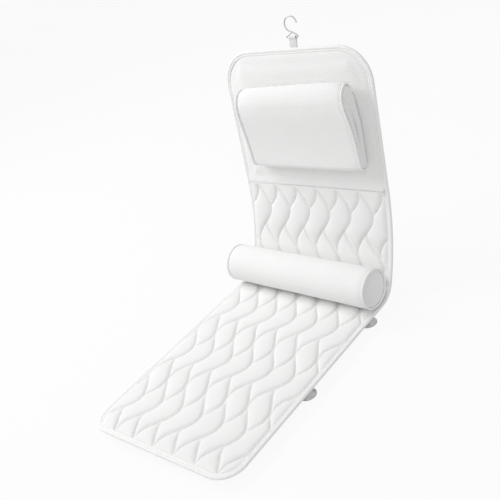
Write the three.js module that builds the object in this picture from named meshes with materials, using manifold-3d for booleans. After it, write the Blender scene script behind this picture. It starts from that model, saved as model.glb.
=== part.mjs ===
// Full-length bath pillow mat: quilted seat, quilted lumbar panel, plain head panel,
// head pillow, loose bolster, suction cups and a hanging hook. Millimetres, +Z up.
import * as THREE from 'three';
import { mergeVertices } from 'three/addons/utils/BufferGeometryUtils.js';
import Module from 'manifold-3d';

const kernel = await Module();
kernel.setup();
const { Manifold, Mesh: SolidMesh } = kernel;

// Driving dimensions of the mat
const MAT_WIDTH = 380;
const SEAT_RUN = 515;
const LUMBAR_LENGTH = 190;
const HEAD_LENGTH = 298;
const BASE_LEAN = THREE.MathUtils.degToRad(30);
const HEAD_LEAN = THREE.MathUtils.degToRad(8.3);
const SEAT_CORNER = 50;
const HEAD_CORNER = 75;

// Driving dimensions of the layers and the bound edge
const QUILT_THICK = 8;
const CORE_THICK = 6;
const BACKING_THICK = 2;
const CHANNEL_DEPTH = 5;
const EDGE_DROP = 4;
const BINDING_WIDTH = 9;
const BINDING_HEIGHT = 10;
const SEAM_RADIUS = 1.2;

// Driving dimensions of the wave quilting
const WAVE_PITCH = 55;
const WAVE_LENGTH = 156;
const WAVE_SWING = 19.5;
const CROSS_SWING = 16.5;
const CROSS_LEAD = 50;
const CROSS_SHARE = 0.38;
const LUMBAR_CROSS_SWING = 22;
const LUMBAR_CROSS_LEAD = 44;
const LUMBAR_CROSS_SHARE = 0.41;
const LEAF_LEAST = 4;
const CHANNEL_REACH = 14;
const SEAT_WAVE_SHIFT = 9;
const LUMBAR_WAVE_SHIFT = 17;
const LUMBAR_WAVE_CREST = 57;

// Driving dimensions of the soft slopes beside the edges and the fold seams
const EDGE_REACH = 18;
const SEAM_REACH = 14;
const SEAM_DROP = 0.6;
const HEAD_EDGE_REACH = 24;
const HEAD_SEAM_REACH = 28;
const HEAD_SEAM_DROP = 1;

// Driving dimensions of the suction cup places
const CUP_EDGE = 19;
const CUP_BEND = 38;
const CUP_REST = 16;
const CUP_FRONT = 62;

// Driving dimensions of the loose and hung pieces
const BOLSTER_RADIUS = 42;
const BOLSTER_SKEW = THREE.MathUtils.degToRad(-2);
const END_DRAW = 1;
const END_REACH = 14;
const END_DISH = 4;
const PILLOW_HALF = 136;
const PILLOW_HEIGHT = 186;
const PILLOW_DEPTH = 47;
const PILLOW_SHIFT = 10;
const PILLOW_RISE = 49;
const COVER_THICK = 2;
const PIPING_RADIUS = 1.2;
const TAPE_THICK = 0.8;
const TAPE_WIDTH = 25;
const CUP_RADIUS = 18.5;
const CUP_HEIGHT = 12;
const STRAP_THICK = 1.4;
const STRAP_SEWN = 34;
const WIRE_RADIUS = 1.5;
const HOOK_RADIUS = 15.5;
const HOOK_NECK = 11.5;
const BAR_LENGTH = 29;
const LOOP_WIDTH = 18;
const LOOP_RISE = 18;
const HANG_SHIFT = 4;

// Clearances
const GAP = 0.3;
const FOLD_SLOPE = 0.9;
const CORNER_EASE = 1.08;
const CUP_PLAY = 0.4;
const BAR_PLAY = 0.4;
const BOLSTER_PLAY = 2;
const QUILT_LEAST = QUILT_THICK - 2;

// Depths below the crest of the padding
const CORE_TOP = QUILT_THICK + GAP;
const CORE_BASE = CORE_TOP + CORE_THICK;
const BACKING_TOP = CORE_BASE + GAP;
const BACKING_BASE = BACKING_TOP + BACKING_THICK;
const SEAM_DEPTH = SEAM_RADIUS + 0.5;
const SEAM_START = SEAM_RADIUS + GAP;
const BINDING_TOP = EDGE_DROP;
const PAD_HALF = MAT_WIDTH / 2 - BINDING_WIDTH - GAP;

// The bend that holds the bolster
const BEND_RADIUS = BOLSTER_RADIUS + TAPE_THICK + 2 * GAP + 0.1;
const BEND_ARC = BEND_RADIUS * (Math.PI / 2 - BASE_LEAN);
const SEAT_LENGTH = BEND_ARC + SEAT_RUN;

// Surfaces of the padding: crest point and front normal at a distance from the seam
function seatSurface(s) {
  if (s < BEND_ARC) {
    const angle = -BASE_LEAN - s / BEND_RADIUS;
    const cos = Math.cos(angle);
    const sin = Math.sin(angle);
    return { y: BEND_RADIUS * cos, z: BEND_RADIUS * sin, ny: -cos, nz: -sin };
  }
  return { y: BEND_ARC - s, z: -BEND_RADIUS, ny: 0, nz: 1 };
}

function lumbarSurface(s) {
  const rate = (HEAD_LEAN - BASE_LEAN) / LUMBAR_LENGTH;
  const lean = BASE_LEAN + rate * s;
  const start = seatSurface(0);
  const y = start.y - (Math.cos(lean) - Math.cos(BASE_LEAN)) / rate;
  const z = start.z + (Math.sin(lean) - Math.sin(BASE_LEAN)) / rate;
  return { y, z, ny: -Math.cos(lean), nz: Math.sin(lean) };
}

function headSurface(s) {
  const start = lumbarSurface(LUMBAR_LENGTH);
  const y = start.y + s * Math.sin(HEAD_LEAN);
  const z = start.z + s * Math.cos(HEAD_LEAN);
  return { y, z, ny: start.ny, nz: start.nz };
}

function place(surface, x, s, depth) {
  const at = surface(s);
  return new THREE.Vector3(x, at.y - at.ny * depth, at.z - at.nz * depth);
}

// Turn a point list and triangles into a closed geometry with its faces outward
function closedGeometry(points, triangles) {
  let volume = 0;
  const cross = new THREE.Vector3();
  for (const [a, b, c] of triangles) {
    volume += points[a].dot(cross.crossVectors(points[b], points[c]));
  }
  const faces = volume < 0 ? triangles.map(([a, b, c]) => [a, c, b]) : triangles;
  const geometry = new THREE.BufferGeometry();
  const flat = points.flatMap((p) => p.toArray());
  geometry.setAttribute('position', new THREE.Float32BufferAttribute(flat, 3));
  geometry.setIndex(faces.flat());
  return geometry;
}

// Padded layer: a detailed front over plain rear strips, with end and side walls.
// Where the front dips beside a fold, its rim draws back along the slope of the V.
function padLayer(surface, rows, columns, front, rear) {
  const points = [];
  const triangles = [];
  const grid = [];
  const back = [];
  const addPoint = (x, s, depth) => points.push(place(surface, x, s, depth)) - 1;
  for (const row of rows) {
    const xs = columns(row.front);
    grid.push(xs.map((x) => {
      const depth = front(x, row.front);
      return addPoint(x, row.front + row.lean * foldSlope(depth), depth);
    }));
    const ends = [xs[0], xs[xs.length - 1]];
    back.push(ends.map((x) => addPoint(x, row.rear, rear)));
  }
  const last = grid[0].length - 1;
  for (let i = 0; i + 1 < rows.length; i += 1) {
    for (let j = 0; j < last; j += 1) {
      triangles.push([grid[i][j], grid[i + 1][j], grid[i][j + 1]]);
      triangles.push([grid[i][j + 1], grid[i + 1][j], grid[i + 1][j + 1]]);
    }
    triangles.push([back[i][0], back[i][1], back[i + 1][0]]);
    triangles.push([back[i][1], back[i + 1][1], back[i + 1][0]]);
    triangles.push([grid[i][0], back[i][0], grid[i + 1][0]]);
    triangles.push([back[i][0], back[i + 1][0], grid[i + 1][0]]);
    triangles.push([grid[i][last], grid[i + 1][last], back[i][1]]);
    triangles.push([back[i][1], grid[i + 1][last], back[i + 1][1]]);
  }
  const middle = Math.floor(last / 2);
  for (const [i, flip] of [[0, false], [rows.length - 1, true]]) {
    const wall = [];
    for (let j = 0; j < last; j += 1) {
      wall.push([grid[i][j], grid[i][j + 1], back[i][j < middle ? 0 : 1]]);
    }
    wall.push([back[i][0], grid[i][middle], back[i][1]]);
    triangles.push(...(flip ? wall.map(([a, b, c]) => [a, c, b]) : wall));
  }
  return closedGeometry(points, triangles);
}

// Half width of a panel whose free end has round corners
function panelHalf(half, corner, fromEnd) {
  const inset = Math.max(0, corner - fromEnd);
  return half - corner + Math.sqrt(Math.max(0, corner * corner - inset * inset));
}

// Row positions: even steps, finer steps in the bend, round steps in the corners
function rowSteps(start, end, step) {
  const count = Math.max(1, Math.round((end - start) / step));
  return Array.from({ length: count + 1 }, (_, i) => start + ((end - start) * i) / count);
}

function cornerRows(end, corner) {
  return [12, 35, 60, 90].map((angle) => end - corner * (1 - Math.sin(THREE.MathUtils.degToRad(angle))));
}

// How far the wall of the V beside a fold lies from the seam, at a depth below the crest
function foldSlope(depth) {
  return FOLD_SLOPE * Math.max(0, depth - SEAM_DEPTH + SEAM_RADIUS);
}

// Front and rear positions of each row, leaving a V at the sewn fold lines
function foldRows(steps, length, top, base, folds) {
  const low = (depth) => SEAM_START + foldSlope(depth);
  const high = (depth) => (folds.high ? length - low(depth) : length - folds.trim);
  const first = steps[0];
  const last = steps.length - 1;
  const span = steps[last] - first;
  return steps.map((s, i) => {
    const u = (s - first) / span;
    const leanHigh = folds.high && i === last ? -1 : 0;
    return {
      front: low(top) + (high(top) - low(top)) * u,
      rear: low(base) + (high(base) - low(base)) * u,
      lean: folds.dips && i === 0 ? 1 : folds.dips * leanHigh,
    };
  });
}

// Wave quilting: two families of stitched lines that run along the mat
function waveLines(u, origin, offset, leaf) {
  const phase = (2 * Math.PI * (u - origin)) / WAVE_LENGTH;
  const lead = (2 * Math.PI * leaf.lead) / WAVE_LENGTH;
  const main = offset + WAVE_SWING * Math.cos(phase);
  const cross = offset + leaf.share * WAVE_PITCH + leaf.swing * Math.cos(phase - lead);
  const spread = THREE.MathUtils.clamp(cross - main, LEAF_LEAST, WAVE_PITCH - LEAF_LEAST);
  return { main, cross: main + spread };
}

function quiltColumns(half, lines, s) {
  const { main, cross } = lines(s);
  const wide = cross - main;
  const rest = WAVE_PITCH - wide;
  const marks = [0, wide / 3, (2 * wide) / 3, wide, wide + rest / 3, wide + (2 * rest) / 3];
  const reach = Math.ceil(MAT_WIDTH / 2 / WAVE_PITCH);
  const inner = [];
  for (let k = -reach; k < reach; k += 1) {
    const from = k === -reach ? 2 : 0;
    const to = k === reach - 1 ? 2 : marks.length;
    marks.slice(from, to).forEach((mark) => inner.push(main + k * WAVE_PITCH + mark));
  }
  const margin = 4;
  const least = 0.8;
  const count = inner.length;
  const kept = inner
    .map((x, i) => Math.max(x, -half + margin + least * i))
    .map((x, i) => Math.min(x, half - margin - least * (count - 1 - i)));
  return [-half, ...kept, half];
}

function quiltRelief(lines, x, s) {
  const { main, cross } = lines(s);
  const wrap = (d) => Math.abs(d - WAVE_PITCH * Math.round(d / WAVE_PITCH));
  const near = Math.min(wrap(x - main), wrap(x - cross));
  const rise = 1 - Math.min(1, near / CHANNEL_REACH);
  return CHANNEL_DEPTH * rise * rise;
}

function edgeRelief(distance, reach, drop) {
  const rise = 1 - THREE.MathUtils.clamp(distance / reach, 0, 1);
  return drop * rise * rise;
}

// Solid cuts
function solidOf(geometry) {
  const bare = new THREE.BufferGeometry();
  bare.setAttribute('position', geometry.getAttribute('position').clone());
  bare.setIndex(geometry.getIndex());
  const merged = mergeVertices(bare, 1e-4);
  return new Manifold(new SolidMesh({
    numProp: 3,
    vertProperties: new Float32Array(merged.getAttribute('position').array),
    triVerts: new Uint32Array(merged.getIndex().array),
  }));
}

function geometryOf(solid) {
  const mesh = solid.getMesh();
  const geometry = new THREE.BufferGeometry();
  geometry.setAttribute('position', new THREE.Float32BufferAttribute(mesh.vertProperties, 3));
  geometry.setIndex(Array.from(mesh.triVerts));
  return geometry;
}

// Aim a piece that was drawn along +Y so that it points out of the rear of a panel
function aimRearward(geometry, surface, x, s, depth) {
  const at = surface(s);
  const outward = new THREE.Vector3(0, -at.ny, -at.nz);
  const turn = new THREE.Quaternion().setFromUnitVectors(new THREE.Vector3(0, 1, 0), outward);
  geometry.applyQuaternion(turn);
  const spot = place(surface, x, s, depth);
  return geometry.translate(spot.x, spot.y, spot.z);
}

function holesCut(geometry, surface, spots, radius, from, to) {
  let solid = solidOf(geometry);
  for (const [x, s] of spots) {
    const pin = new THREE.CylinderGeometry(radius, radius, to - from, 12);
    aimRearward(pin, surface, x, s, (from + to) / 2);
    solid = solid.subtract(solidOf(pin));
  }
  return geometryOf(solid);
}

// Sewn edge tape swept round a panel: stations lie on the surface, the section looks outward
function edgeTape(surface, stations, slopeStart, slopeEnd) {
  const top = BINDING_TOP;
  const base = BINDING_TOP + BINDING_HEIGHT;
  const wide = BINDING_WIDTH;
  const section = [
    [0, top + 0.6],
    [0.5 * wide, top],
    [0.88 * wide, top + 0.18 * BINDING_HEIGHT],
    [wide, (top + base) / 2],
    [0.88 * wide, base - 0.18 * BINDING_HEIGHT],
    [0.5 * wide, base],
    [0, base - 0.6],
  ];
  const points = [];
  const triangles = [];
  const sides = section.length;
  stations.forEach((station, i) => {
    const first = i === 0 ? slopeStart : 0;
    const last = i === stations.length - 1 ? slopeEnd : 0;
    for (const [out, depth] of section) {
      const shift = (first + last) * (depth - top);
      const x = station.x + station.ox * out;
      const s = station.s + station.os * out + shift;
      points.push(place(surface, x, s, depth));
    }
  });
  for (let i = 0; i + 1 < stations.length; i += 1) {
    for (let j = 0; j < sides; j += 1) {
      const a = i * sides + j;
      const b = i * sides + ((j + 1) % sides);
      triangles.push([a, b, a + sides]);
      triangles.push([b, b + sides, a + sides]);
    }
  }
  const tail = (stations.length - 1) * sides;
  for (let j = 1; j + 1 < sides; j += 1) {
    triangles.push([0, j + 1, j]);
    triangles.push([tail, tail + j, tail + j + 1]);
  }
  return closedGeometry(points, triangles);
}

function sideStations(sign, steps) {
  const x = sign * (MAT_WIDTH / 2 - BINDING_WIDTH);
  return steps.map((s) => ({ x, s, ox: sign, os: 0 }));
}

function cornerStations(sign, end, corner, reversed) {
  const radius = corner - BINDING_WIDTH;
  const x = sign * (MAT_WIDTH / 2 - corner);
  const s = end - corner;
  const list = [0, 18, 36, 54, 72, 90].map((angle) => {
    const turn = THREE.MathUtils.degToRad(angle);
    const ox = sign * Math.cos(turn);
    const os = Math.sin(turn);
    return { x: x + ox * radius, s: s + os * radius, ox, os };
  });
  return reversed ? list.reverse() : list;
}

// Named meshes of the part
const part = new THREE.Group();
part.name = 'bath_pillow_mat';

const FINISH = {
  quilt: { color: 0xf3f3f1, roughness: 0.9 },
  lining: { color: 0xe9e9e6, roughness: 0.95 },
  foam: { color: 0xf0eee6, roughness: 1.0 },
  tape: { color: 0xefefec, roughness: 0.85 },
  grip: { color: 0xdededb, roughness: 0.95 },
  cup: { color: 0xc4c8ca, roughness: 0.25 },
  wire: { color: 0xc2c5c8, roughness: 0.25, metalness: 1.0 },
};

function add(name, geometry, finish) {
  const mesh = new THREE.Mesh(geometry, new THREE.MeshStandardMaterial(FINISH[finish]));
  mesh.name = name;
  part.add(mesh);
}

// Suction cup: button head, neck through the backing, bell and shallow hollow
const CUP_NECK = 4;
const CUP_HEAD = 7;
const CUP_HEAD_THICK = 2.2;

function suctionCup(surface, x, s) {
  const seat = BACKING_THICK + GAP;
  const rim = CUP_HEIGHT + GAP;
  const outline = [
    [0, -seat - CUP_HEAD_THICK],
    [CUP_HEAD, -seat - CUP_HEAD_THICK],
    [CUP_HEAD, -seat],
    [CUP_NECK, -seat],
    [CUP_NECK, GAP],
    [0.45 * CUP_RADIUS, GAP],
    [0.8 * CUP_RADIUS, GAP + 0.62 * CUP_HEIGHT],
    [CUP_RADIUS, rim - 0.1 * CUP_HEIGHT],
    [CUP_RADIUS, rim],
    [0.84 * CUP_RADIUS, rim],
    [0.5 * CUP_RADIUS, rim - 0.22 * CUP_HEIGHT],
    [0, rim - 0.3 * CUP_HEIGHT],
  ];
  const profile = outline.map(([r, h]) => new THREE.Vector2(r, h));
  const tidy = geometryOf(solidOf(new THREE.LatheGeometry(profile, 12)));
  return aimRearward(tidy, surface, x, s, BACKING_BASE);
}

function addCups(prefix, surface, spots) {
  spots.forEach(([x, s], i) => add(`${prefix}_${i + 1}`, suctionCup(surface, x, s), 'cup'));
}

function coreWithPockets(geometry, surface, spots) {
  const depth = CUP_HEAD_THICK + GAP;
  return holesCut(geometry, surface, spots, CUP_HEAD + CUP_PLAY, CORE_BASE - depth, CORE_BASE + 1);
}

function backingWithEyelets(geometry, surface, spots) {
  return holesCut(geometry, surface, spots, CUP_NECK + CUP_PLAY, BACKING_TOP - 1, BACKING_BASE + 1);
}

// Seat section
const seatEnd = SEAT_LENGTH - BINDING_WIDTH - GAP;
const seatCornerIn = CORNER_EASE * (SEAT_CORNER - BINDING_WIDTH - GAP);
const bendSteps = rowSteps(0, BEND_ARC, 11);
const seatCornerSteps = cornerRows(seatEnd, seatCornerIn);
const seatSteps = [
  ...bendSteps,
  ...rowSteps(BEND_ARC, seatCornerSteps[0], WAVE_LENGTH / 6).slice(1),
  ...seatCornerSteps.slice(1),
];
const plainSeatSteps = [...bendSteps, ...seatCornerSteps];
const seatFolds = { high: false, dips: 0, trim: SEAT_LENGTH - seatEnd };
const seatHalf = (s) => panelHalf(PAD_HALF, seatCornerIn, seatEnd - s);
const seatLeaf = { swing: CROSS_SWING, lead: CROSS_LEAD, share: CROSS_SHARE };
const seatLines = (s) => waveLines(-s, -(BEND_ARC + 0.5 * SEAT_RUN), SEAT_WAVE_SHIFT, seatLeaf);
const seatPlain = (s) => [-seatHalf(s), seatHalf(s)];

function seatFront(x, s) {
  const edge = Math.min(seatHalf(s) - Math.abs(x), seatEnd - s);
  const drop = edgeRelief(edge, EDGE_REACH, EDGE_DROP) + edgeRelief(s, SEAM_REACH, SEAM_DROP);
  return Math.min(QUILT_LEAST, quiltRelief(seatLines, x, s) + drop);
}

const cupSide = MAT_WIDTH / 2 - CUP_EDGE;
const seatCupSpots = [
  [-cupSide, BEND_ARC + CUP_BEND],
  [cupSide, BEND_ARC + CUP_BEND],
  [-cupSide, BEND_ARC + 0.51 * SEAT_RUN],
  [cupSide, BEND_ARC + 0.51 * SEAT_RUN],
  [-0.32 * MAT_WIDTH, SEAT_LENGTH - CUP_FRONT],
  [0.32 * MAT_WIDTH, SEAT_LENGTH - CUP_FRONT],
  [0, BEND_ARC + CUP_REST],
  [0, BEND_ARC + 0.6 * SEAT_RUN],
];

add('seat_quilt', padLayer(
  seatSurface,
  foldRows(seatSteps, SEAT_LENGTH, 0, QUILT_THICK, { ...seatFolds, dips: 1 }),
  (s) => quiltColumns(seatHalf(s), seatLines, s),
  seatFront,
  QUILT_THICK,
), 'quilt');
const seatCore = padLayer(
  seatSurface,
  foldRows(plainSeatSteps, SEAT_LENGTH, CORE_TOP, CORE_BASE, seatFolds),
  seatPlain,
  () => CORE_TOP,
  CORE_BASE,
);
add('seat_core', coreWithPockets(seatCore, seatSurface, seatCupSpots), 'foam');
const seatBacking = padLayer(
  seatSurface,
  foldRows(plainSeatSteps, SEAT_LENGTH, BACKING_TOP, BACKING_BASE, seatFolds),
  seatPlain,
  () => BACKING_TOP,
  BACKING_BASE,
);
add('seat_backing', backingWithEyelets(seatBacking, seatSurface, seatCupSpots), 'lining');

const tapeStart = SEAM_START + foldSlope(BINDING_TOP);
const tapeSlope = foldSlope(BINDING_TOP + BINDING_HEIGHT) - foldSlope(BINDING_TOP);
const seatSideSteps = [tapeStart, ...bendSteps.filter((s) => s > tapeStart + tapeSlope)];
add('seat_binding', edgeTape(seatSurface, [
  ...sideStations(-1, seatSideSteps),
  ...cornerStations(-1, SEAT_LENGTH, SEAT_CORNER, false),
  ...cornerStations(1, SEAT_LENGTH, SEAT_CORNER, true),
  ...sideStations(1, [...seatSideSteps].reverse()),
], FOLD_SLOPE, FOLD_SLOPE), 'tape');
addCups('seat_cup', seatSurface, seatCupSpots);

// Sewn fold lines: a fine cord lies in the valley of each seam
function seamCord(surface, s) {
  const cord = new THREE.CylinderGeometry(SEAM_RADIUS, SEAM_RADIUS, 2 * PAD_HALF, 10);
  cord.rotateZ(Math.PI / 2);
  const spot = place(surface, 0, s, SEAM_DEPTH);
  return cord.translate(spot.x, spot.y, spot.z);
}
add('back_fold_seam', seamCord(lumbarSurface, 0), 'tape');
add('head_fold_seam', seamCord(headSurface, 0), 'tape');

// Lumbar section
const lumbarSteps = rowSteps(0, LUMBAR_LENGTH, WAVE_LENGTH / 8);
const lumbarFolds = { high: true, dips: 0, trim: 0 };
const lumbarLeaf = { swing: LUMBAR_CROSS_SWING, lead: LUMBAR_CROSS_LEAD, share: LUMBAR_CROSS_SHARE };
const lumbarLines = (s) => {
  return waveLines(s, LUMBAR_LENGTH - LUMBAR_WAVE_CREST, LUMBAR_WAVE_SHIFT, lumbarLeaf);
};
const lumbarPlain = () => [-PAD_HALF, PAD_HALF];

function lumbarFront(x, s) {
  const seam = Math.min(s, LUMBAR_LENGTH - s);
  const edge = PAD_HALF - Math.abs(x);
  const drop = edgeRelief(edge, EDGE_REACH, EDGE_DROP) + edgeRelief(seam, SEAM_REACH, SEAM_DROP);
  return Math.min(QUILT_LEAST, quiltRelief(lumbarLines, x, s) + drop);
}

const lumbarCupSpots = [
  [-0.34 * MAT_WIDTH, 0.55 * LUMBAR_LENGTH],
  [0.34 * MAT_WIDTH, 0.55 * LUMBAR_LENGTH],
];

add('lumbar_quilt', padLayer(
  lumbarSurface,
  foldRows(lumbarSteps, LUMBAR_LENGTH, 0, QUILT_THICK, { ...lumbarFolds, dips: 1 }),
  (s) => quiltColumns(PAD_HALF, lumbarLines, s),
  lumbarFront,
  QUILT_THICK,
), 'quilt');
const lumbarCore = padLayer(
  lumbarSurface,
  foldRows(lumbarSteps, LUMBAR_LENGTH, CORE_TOP, CORE_BASE, lumbarFolds),
  lumbarPlain,
  () => CORE_TOP,
  CORE_BASE,
);
add('lumbar_core', coreWithPockets(lumbarCore, lumbarSurface, lumbarCupSpots), 'foam');
const lumbarBacking = padLayer(
  lumbarSurface,
  foldRows(lumbarSteps, LUMBAR_LENGTH, BACKING_TOP, BACKING_BASE, lumbarFolds),
  lumbarPlain,
  () => BACKING_TOP,
  BACKING_BASE,
);
add('lumbar_backing', backingWithEyelets(lumbarBacking, lumbarSurface, lumbarCupSpots), 'lining');
const lumbarSideSteps = rowSteps(tapeStart, LUMBAR_LENGTH - tapeStart, 30);
for (const [side, sign] of [['left', -1], ['right', 1]]) {
  const tape = edgeTape(lumbarSurface, sideStations(sign, lumbarSideSteps), FOLD_SLOPE, -FOLD_SLOPE);
  add(`lumbar_binding_${side}`, tape, 'tape');
}
addCups('lumbar_cup', lumbarSurface, lumbarCupSpots);

// Head section
const headEnd = HEAD_LENGTH - BINDING_WIDTH - GAP;
const headCornerIn = CORNER_EASE * (HEAD_CORNER - BINDING_WIDTH - GAP);
const headCornerSteps = cornerRows(headEnd, headCornerIn);
const headSeamSteps = [0, 0.43, 1.07, 2.14].map((u) => u * HEAD_SEAM_REACH);
const headSteps = [
  ...headSeamSteps.slice(0, -1),
  ...rowSteps(headSeamSteps[headSeamSteps.length - 1], headCornerSteps[0], WAVE_PITCH),
  ...headCornerSteps.slice(1),
];
const plainHeadSteps = [0, ...headCornerSteps];
const headFolds = { high: false, dips: 0, trim: HEAD_LENGTH - headEnd };
const headHalf = (s) => panelHalf(PAD_HALF, headCornerIn, headEnd - s);
const headPlain = (s) => [-headHalf(s), headHalf(s)];

function headColumns(s) {
  const half = headHalf(s);
  return [-1, -0.96, -0.88, -0.6, 0, 0.6, 0.88, 0.96, 1].map((u) => u * half);
}

function headFront(x, s) {
  const edge = Math.min(headHalf(s) - Math.abs(x), headEnd - s);
  return edgeRelief(edge, HEAD_EDGE_REACH, EDGE_DROP) + edgeRelief(s, HEAD_SEAM_REACH, HEAD_SEAM_DROP);
}

const headCupSpots = [
  [-0.34 * MAT_WIDTH, 0.2 * HEAD_LENGTH],
  [0.34 * MAT_WIDTH, 0.2 * HEAD_LENGTH],
  [-0.3 * MAT_WIDTH, 0.78 * HEAD_LENGTH],
  [0.3 * MAT_WIDTH, 0.78 * HEAD_LENGTH],
];

add('head_cover', padLayer(
  headSurface,
  foldRows(headSteps, HEAD_LENGTH, 0, QUILT_THICK, { ...headFolds, dips: 1 }),
  headColumns,
  headFront,
  QUILT_THICK,
), 'quilt');
const headCore = padLayer(
  headSurface,
  foldRows(plainHeadSteps, HEAD_LENGTH, CORE_TOP, CORE_BASE, headFolds),
  headPlain,
  () => CORE_TOP,
  CORE_BASE,
);
add('head_core', coreWithPockets(headCore, headSurface, headCupSpots), 'foam');
const headBacking = padLayer(
  headSurface,
  foldRows(plainHeadSteps, HEAD_LENGTH, BACKING_TOP, BACKING_BASE, headFolds),
  headPlain,
  () => BACKING_TOP,
  BACKING_BASE,
);
add('head_backing', backingWithEyelets(headBacking, headSurface, headCupSpots), 'lining');
add('head_binding', edgeTape(headSurface, [
  ...sideStations(-1, [tapeStart]),
  ...cornerStations(-1, HEAD_LENGTH, HEAD_CORNER, false),
  ...cornerStations(1, HEAD_LENGTH, HEAD_CORNER, true),
  ...sideStations(1, [tapeStart]),
], FOLD_SLOPE, FOLD_SLOPE), 'tape');
addCups('head_cup', headSurface, headCupSpots);

// Extrude an outline drawn in (distance up the panel, height off its crest) across the mat
function acrossPanel(outline, hole, centre, width) {
  const shape = new THREE.Shape(outline.map(([s, h]) => new THREE.Vector2(s, h)));
  if (hole) {
    shape.holes.push(new THREE.Path(hole.map(([s, h]) => new THREE.Vector2(s, h))));
  }
  const geometry = new THREE.ExtrudeGeometry(shape, { depth: width, bevelEnabled: false });
  const position = geometry.getAttribute('position');
  for (let i = 0; i < position.count; i += 1) {
    const x = centre - width / 2 + position.getZ(i);
    const spot = place(headSurface, x, position.getX(i), -position.getY(i));
    position.setXYZ(i, spot.x, spot.y, spot.z);
  }
  return turnedOut(geometry);
}

function turnedOut(geometry) {
  const bare = new THREE.BufferGeometry();
  bare.setAttribute('position', geometry.getAttribute('position').clone());
  if (geometry.getIndex()) {
    bare.setIndex(geometry.getIndex());
  }
  const merged = mergeVertices(bare, 1e-4);
  const position = merged.getAttribute('position');
  const points = [];
  for (let i = 0; i < position.count; i += 1) {
    points.push(new THREE.Vector3().fromBufferAttribute(position, i));
  }
  const index = Array.from(merged.getIndex().array);
  const triangles = [];
  for (let i = 0; i < index.length; i += 3) {
    triangles.push(index.slice(i, i + 3));
  }
  return closedGeometry(points, triangles);
}

// Hook-and-loop strips that hold the head pillow at the wanted height
const pillowX = PILLOW_SHIFT;
const panelTapeLength = 0.84 * PILLOW_HEIGHT;
const pillowTapeLength = 0.46 * PILLOW_HEIGHT;
const tapeMiddle = PILLOW_RISE + 0.5 * PILLOW_HEIGHT;

function gripStrip(centre, length, lift) {
  const low = tapeMiddle - length / 2;
  const high = low + length;
  const face = lift + TAPE_THICK;
  return acrossPanel([[low, lift], [high, lift], [high, face], [low, face]], null, centre, TAPE_WIDTH);
}

for (const [side, sign] of [['left', -1], ['right', 1]]) {
  const centre = pillowX + sign * 0.5 * PILLOW_HALF;
  add(`panel_loop_tape_${side}`, gripStrip(centre, panelTapeLength, GAP), 'grip');
  add(`pillow_hook_tape_${side}`, gripStrip(centre, pillowTapeLength, 2 * GAP + TAPE_THICK), 'grip');
}

// Head pillow: thick rounded top, hollowed front and slim lower edge
const pillowLift = 3 * GAP + 2 * TAPE_THICK;
const pillowShares = [
  [0.0, 0.26], [0.022, 0.46], [0.07, 0.56], [0.17, 0.565], [0.27, 0.57], [0.39, 0.64], [0.51, 0.77],
  [0.65, 0.92], [0.78, 1.0], [0.9, 0.97], [0.97, 0.8], [1.0, 0.54], [0.985, 0.28], [0.935, 0.08],
  [0.86, 0.0], [0.6, 0.0], [0.35, 0.0], [0.08, 0.0], [0.022, 0.08],
];

function pillowRing(inset, crown) {
  const curve = new THREE.CatmullRomCurve3(
    pillowShares.map(([s, h]) => new THREE.Vector3(s * PILLOW_HEIGHT, h * PILLOW_DEPTH * crown, 0)),
    true,
    'centripetal',
  );
  const ring = curve.getPoints(36).slice(0, 36);
  return ring.map((p, i) => {
    const before = ring[(i + 35) % 36];
    const after = ring[(i + 1) % 36];
    const along = new THREE.Vector3().subVectors(after, before).normalize();
    return [PILLOW_RISE + p.x + along.y * inset, pillowLift + Math.max(0, p.y) - along.x * inset];
  });
}

function pillowLoft(rings, xs) {
  const points = [];
  const triangles = [];
  const sides = rings[0].length;
  rings.forEach((ring, i) => {
    ring.forEach(([s, h]) => points.push(place(headSurface, pillowX + xs[i], s, -h)));
  });
  for (let i = 0; i + 1 < rings.length; i += 1) {
    for (let j = 0; j < sides; j += 1) {
      const a = i * sides + j;
      const b = i * sides + ((j + 1) % sides);
      triangles.push([a, b, a + sides]);
      triangles.push([b, b + sides, a + sides]);
    }
  }
  return { points, triangles, sides };
}

const pillowStations = [-1, -0.9, -0.6, 0, 0.6, 0.9, 1];
const pillowCrown = (u) => 1 - 0.05 * u ** 4;

function pillowCover() {
  const xs = pillowStations.map((u) => u * PILLOW_HALF);
  const outer = pillowLoft(pillowStations.map((u) => pillowRing(0, pillowCrown(u))), xs);
  const inner = pillowLoft(pillowStations.map((u) => pillowRing(COVER_THICK, pillowCrown(u))), xs);
  const shift = outer.points.length;
  const points = [...outer.points, ...inner.points];
  const lining = inner.triangles.map(([a, b, c]) => [a + shift, c + shift, b + shift]);
  const triangles = [...outer.triangles, ...lining];
  const tail = (pillowStations.length - 1) * outer.sides;
  for (let j = 0; j < outer.sides; j += 1) {
    const k = (j + 1) % outer.sides;
    triangles.push([j, j + shift, k]);
    triangles.push([k, j + shift, k + shift]);
    triangles.push([tail + j, tail + k, tail + j + shift]);
    triangles.push([tail + k, tail + k + shift, tail + j + shift]);
  }
  return closedGeometry(points, triangles);
}

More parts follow.
